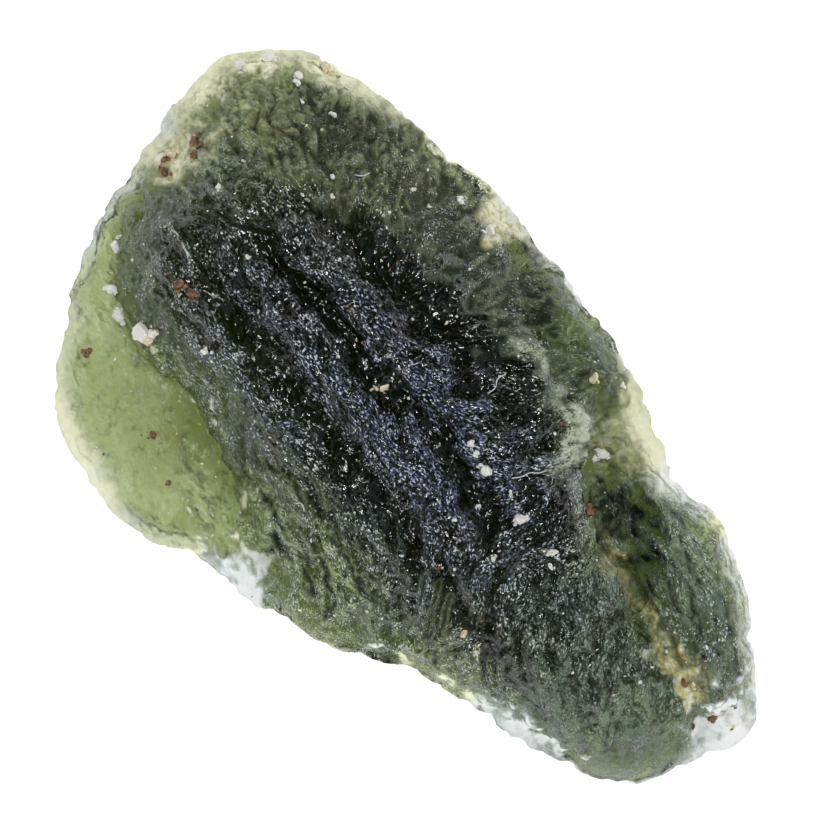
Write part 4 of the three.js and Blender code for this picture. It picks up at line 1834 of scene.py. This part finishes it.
@dataclass
class Grains:
    """Grains of one kind, seated in the stone's surface and joined into one piece."""

    name: str
    finish: Grit
    placed: tuple[Grain, ...]
    crumbs: int = 2
    scattered: int = 0
    scattered_width: tuple[float, float] = (0.05, 0.11)
    sunk: float = 0.22
    seed: int = 1

    def build(self, stone: Stone) -> bpy.types.Object:
        """Makes the grains.

        Args:
            stone: the stone that they lie on.

        Returns:
            The joined piece.
        """
        rng = np.random.default_rng(self.seed)
        crumbs = [self._crumb(rng, grain) for grain in self.placed for _ in range(self.crumbs)]
        grains = [*self.placed, *crumbs, *self._scatter(rng, stone)]
        shapes = [self._pebble(rng) for _ in range(6)]
        points: list[np.ndarray] = []
        faces: list[tuple[int, ...]] = []
        for grain in grains:
            corners, sides = shapes[rng.integers(len(shapes))]
            start = sum(len(p) for p in points)
            points.append(self._seat(rng, stone, grain, corners))
            faces += [tuple(start + i for i in side) for side in sides]
        mesh = bpy.data.meshes.new(self.name)
        mesh.from_pydata(np.concatenate(points).tolist(), [], faces)
        piece = bpy.data.objects.new(self.name, mesh)
        bpy.context.scene.collection.objects.link(piece)
        mesh.materials.append(self.finish.build())
        set_in_frame(piece)
        return piece

    def _crumb(self, rng: np.random.Generator, grain: Grain) -> Grain:
        """Breaks a small piece off a grain and lays it against the grain's side.

        Args:
            rng: the draws.
            grain: the grain that it comes off.

        Returns:
            The small piece.
        """
        angle = rng.uniform(0.0, 2.0 * math.pi)
        away = grain.width * rng.uniform(0.35, 0.7)
        at = (grain.at[0] + away * math.cos(angle), grain.at[1] + away * math.sin(angle))
        return Grain(at, grain.width * rng.uniform(0.35, 0.65), rng.uniform(1.0, 1.6))

    def _scatter(self, rng: np.random.Generator, stone: Stone) -> list[Grain]:
        """Picks places for the small grains.

        Args:
            rng: the draws.
            stone: the stone that they lie on.

        Returns:
            The grains.
        """
        found: list[Grain] = []
        while len(found) < self.scattered:
            x, y = rng.uniform(-11.5, 11.5), rng.uniform(-6.5, 6.5)
            try:
                stone.surface(x, y)
            except ValueError:
                continue
            low, high = self.scattered_width
            found.append(Grain((x, y), low + (high - low) * rng.random() ** 3, rng.uniform(1.0, 1.8)))
        return found

    def _pebble(self, rng: np.random.Generator) -> tuple[np.ndarray, list[tuple[int, ...]]]:
        """Shapes one grain by hand: a ball, cut flat on a few sides.

        Args:
            rng: where the cuts' directions come from.

        Returns:
            Its points, one wide, and its faces.
        """
        deselect_all()
        bpy.ops.mesh.primitive_ico_sphere_add(subdivisions=2, radius=0.5)
        ball = bpy.context.object
        bpy.ops.object.mode_set(mode="EDIT")
        for _ in range(5):
            way = Vector(rng.standard_normal(3)).normalized()
            bpy.ops.mesh.select_all(action="SELECT")
            bpy.ops.mesh.bisect(
                plane_co=way * rng.uniform(0.28, 0.42), plane_no=way, use_fill=True, clear_outer=True
            )
        bpy.ops.object.mode_set(mode="OBJECT")
        corners = points_of(ball)
        corners *= 1.0 + rng.uniform(-0.16, 0.12, (len(corners), 1))
        sides = [tuple(p.vertices) for p in ball.data.polygons]
        bpy.data.objects.remove(ball)
        return corners, sides

    def _seat(self, rng: np.random.Generator, stone: Stone, grain: Grain, corners: np.ndarray) -> np.ndarray:
        """Turns a grain at random, sizes it and sinks it a little into the surface.

        Args:
            rng: the draws.
            stone: the stone that it sits on.
            grain: its place and size.
            corners: the corners of a lump one unit across.

        Returns:
            The grain's corners, in millimetres.
        """
        point, normal = stone.surface(*grain.at)
        spin = Matrix.Rotation(rng.uniform(0, 2 * math.pi), 3, "Z")
        lie = normal.to_track_quat("Z", "Y").to_matrix() @ spin
        size = grain.width * np.array([grain.long, 1.0, 0.8])
        seated = (corners * size) @ np.array(lie).T
        return seated + np.array(point + normal * grain.width * (0.4 - self.sunk))


@dataclass
class Lint:
    """Fine pale fibres that lie on the stone."""

    threads: tuple[tuple[Place, ...], ...] = (
        ((2.05, 2.1), (2.2, 2.35), (2.25, 2.55), (2.42, 2.75), (2.5, 2.95)),
        ((-0.15, 3.75), (-0.18, 3.5), (-0.05, 3.3), (-0.06, 3.05)),
        ((-6.8, 4.1), (-6.65, 4.25), (-6.6, 4.45)),
        ((-1.1, -2.75), (-0.95, -2.62), (-0.8, -2.68)),
    )
    thickness: float = 0.035

    def build(self, stone: Stone) -> bpy.types.Object:
        """Makes the fibres.

        Args:
            stone: the stone that they lie on.

        Returns:
            The joined piece.
        """
        curve = bpy.data.curves.new("lint", "CURVE")
        curve.dimensions = "3D"
        curve.bevel_depth = self.thickness / 2
        curve.bevel_resolution = 2
        curve.resolution_u = 6
        curve.use_fill_caps = True
        for thread in self.threads:
            spline = curve.splines.new("BEZIER")
            spline.bezier_points.add(len(thread) - 1)
            for knot, (x, y) in zip(spline.bezier_points, thread):
                point, _ = stone.surface(x, y)
                knot.co = point + Vector((0.0, 0.0, self.thickness))
                knot.handle_left_type = knot.handle_right_type = "AUTO"
        piece = bpy.data.objects.new("lint_fibres", curve)
        bpy.context.scene.collection.objects.link(piece)
        pick(piece)
        bpy.ops.object.convert(target="MESH")
        piece = bpy.context.object
        piece.data.materials.clear()
        piece.data.materials.append(LINT.build())
        set_in_frame(piece)
        return piece


QUARTZ_GRAINS = (
    Grain((-7.3, -3.0), 0.55, 1.1),
    Grain((-8.2, -3.25), 0.38, 1.3),
    Grain((-8.9, -2.9), 0.36, 1.2),
    Grain((-9.7, -2.05), 0.4, 1.2),
    Grain((-5.75, -1.95), 0.22, 1.2),
    Grain((-8.9, 1.1), 0.2, 1.1),
    Grain((-6.9, 0.5), 0.12, 1.6),
    Grain((0.65, 1.85), 0.16, 1.7),
    Grain((0.95, 1.8), 0.19, 1.2),
    Grain((1.45, 1.7), 0.32, 1.3),
    Grain((3.35, 0.35), 0.14, 1.3),
    Grain((2.05, 0.95), 0.12, 1.3),
    Grain((3.0, 1.6), 0.3, 1.5),
    Grain((4.2, 1.62), 0.24, 2.4),
    Grain((4.5, 1.4), 0.14, 1.7),
    Grain((-4.55, 5.9), 0.22, 1.3),
    Grain((2.2, 6.1), 0.16, 1.3),
    Grain((9.3, -1.2), 0.2, 1.2),
    Grain((3.3, 4.45), 0.34, 1.7),
    Grain((-4.6, 5.95), 0.15, 1.2),
    Grain((-3.4, 6.0), 0.3, 1.2),
    Grain((-10.95, 4.4), 0.36, 1.1),
    Grain((-11.3, 3.7), 0.32, 1.1),
    Grain((-10.0, 4.7), 0.3, 1.2),
    Grain((-8.5, 4.75), 0.2, 2.0),
    Grain((-9.35, 4.3), 0.14, 1.4),
    Grain((-7.1, 3.6), 0.13, 1.3),
    Grain((-6.75, 3.25), 0.13, 1.3),
    Grain((-5.55, 5.05), 0.14, 1.3),
    Grain((-4.9, 5.1), 0.12, 1.2),
    Grain((-9.0, 2.05), 0.11, 1.4),
    Grain((2.3, 1.85), 0.1, 1.4),
)
CREAM_GRAINS = (
    Grain((-7.05, -2.95), 0.4, 1.1),
    Grain((-1.95, 1.05), 0.2, 1.5),
    Grain((-2.05, 0.85), 0.14, 1.2),
    Grain((-9.8, 5.45), 0.35, 1.1),
    Grain((1.5, 5.6), 0.26, 1.3),
    Grain((9.6, 2.3), 0.16, 1.3),
    Grain((-10.6, 0.7), 0.3, 1.2),
    Grain((4.4, -1.5), 0.16, 1.6),
)
RUST_GRAINS = (
    Grain((-7.6, -1.35), 0.3, 1.1),
    Grain((-7.15, -1.25), 0.26, 1.0),
    Grain((-8.0, -4.7), 0.26, 1.1),
    Grain((-5.1, -4.7), 0.22, 1.1),
    Grain((-3.8, -5.2), 0.16, 1.1),
    Grain((2.6, -0.9), 0.12, 1.2),
    Grain((4.3, 3.2), 0.32, 1.0),
    Grain((9.4, 2.1), 0.2, 1.4),
    Grain((10.75, 2.15), 0.26, 1.2),
    Grain((10.35, 2.65), 0.09, 1.4),
    Grain((11.0, 2.8), 0.08, 1.2),
    Grain((10.6, 1.55), 0.12, 1.6),
    Grain((11.45, 2.35), 0.07, 1.2),
    Grain((9.75, 2.45), 0.1, 1.5),
    Grain((-10.4, 1.45), 0.36, 1.2),
    Grain((-10.1, 1.2), 0.24, 1.5),
    Grain((-10.4, 0.3), 0.3, 1.2),
    Grain((-10.65, 0.45), 0.2, 1.3),
)


# ---------------------------------------------------------------- the studio


@dataclass(frozen=True)
class Lamp:
    """A soft square lamp that points at the stone."""

    name: str
    at_mm: Point
    power: float
    tint: Colour
    size_mm: float = 26.0

    def hang(self) -> None:
        """Adds the lamp to the scene."""
        place = Vector(self.at_mm) * MM
        deselect_all()
        bpy.ops.object.light_add(type="AREA", location=place)
        lamp = bpy.context.object
        lamp.name = self.name
        lamp.rotation_euler = place.to_track_quat("Z", "Y").to_euler()
        lamp.data.size = self.size_mm * MM
        lamp.data.energy = self.power
        lamp.data.color = self.tint


@dataclass
class Studio:
    """A pale ground, soft light and the camera, which looks straight down.

    The bands of the sky are given by how far up they lie, from 0 at the horizon to 1 overhead.
    """

    lamps: tuple[Lamp, ...] = (
        Lamp("key", (-45.0, 65.0, 95.0), 0.055, (1.0, 1.0, 1.0)),
        Lamp("rim", (85.0, 10.0, 85.0), 0.045, (0.96, 0.98, 1.0)),
        Lamp("fill", (-20.0, -90.0, 80.0), 0.045, (0.97, 0.98, 1.0)),
    )
    lens_mm: float = 120.0
    view_width_mm: float = 22.76
    centre: Place = (-0.934, 1.208)
    sharp_height_mm: float = 2.4
    turn_degrees: float = 50.0
    ground_mm: float = 4000.0
    overhead: Colour = (0.72, 0.82, 1.0)
    overhead_glow: float = 0.35
    overhead_band: tuple[float, float] = (0.82, 0.93)
    wall: Colour = (1.0, 1.0, 1.0)
    wall_glow: float = 0.6
    wall_band: tuple[float, float] = (0.40, 0.15)
    tint_band: tuple[float, float] = (0.5, 0.8)
    gap_glow: float = 0.03

    def build(self) -> None:
        """Makes the ground, the lights and the camera."""
        self._ground()
        self._sky()
        for lamp in self.lamps:
            lamp.hang()
        self._camera()
        bpy.context.scene.view_settings.view_transform = "Standard"

    def _ground(self) -> None:
        """Lays the ground that the stone rests on."""
        deselect_all()
        bpy.ops.mesh.primitive_plane_add(size=self.ground_mm * MM)
        ground = bpy.context.object
        ground.name = "ground"
        ground.data.materials.append(PaleGround().build())

    def _sky(self) -> None:
        """A cool soft box overhead and pale walls low down all round, with a dark gap between them."""
        world = bpy.data.worlds.new("studio")
        bpy.context.scene.world = world
        n = Nodes(world)
        way = n.add("ShaderNodeTexCoord").wire("Generated")
        up = n.add("ShaderNodeSeparateXYZ", None, {0: way}).wire("Z")
        overhead = up.rise(*self.overhead_band) * self.overhead_glow
        walls = up.rise(*self.wall_band) * self.wall_glow
        colour = n.blend(up.rise(*self.tint_band), self.wall, self.overhead)
        inputs = {"Color": colour, "Strength": overhead + walls + self.gap_glow}
        background = n.add("ShaderNodeBackground", None, inputs).wire(0)
        n.add("ShaderNodeOutputWorld", None, {"Surface": background})

    def _camera(self) -> None:
        """Sets the camera over the stone."""
        data = bpy.data.cameras.new("camera")
        data.lens = self.lens_mm
        data.sensor_width = 36.0
        data.clip_start = 0.001
        data.clip_end = 10.0
        camera = bpy.data.objects.new("camera", data)
        bpy.context.scene.collection.objects.link(camera)
        height = self.view_width_mm * self.lens_mm / data.sensor_width + self.sharp_height_mm
        camera.location = Vector((*self.centre, height)) * MM
        camera.rotation_euler = (0.0, 0.0, math.radians(self.turn_degrees))
        bpy.context.scene.camera = camera


def main() -> None:
    """Builds the stone, what lies on it, and the studio."""
    logging.basicConfig(level=logging.INFO, format="%(message)s")
    Studio().build()
    stone = Stone()
    stone.build()
    Grains("quartz_grains", QUARTZ, QUARTZ_GRAINS, scattered=160, seed=11).build(stone)
    Grains("cream_grains", CREAM, CREAM_GRAINS, scattered=40, seed=12).build(stone)
    Grains("rust_grains", RUST, RUST_GRAINS, scattered=14, seed=13).build(stone)
    Lint().build(stone)
    stone.dress()


if __name__ == "__main__":
    main()
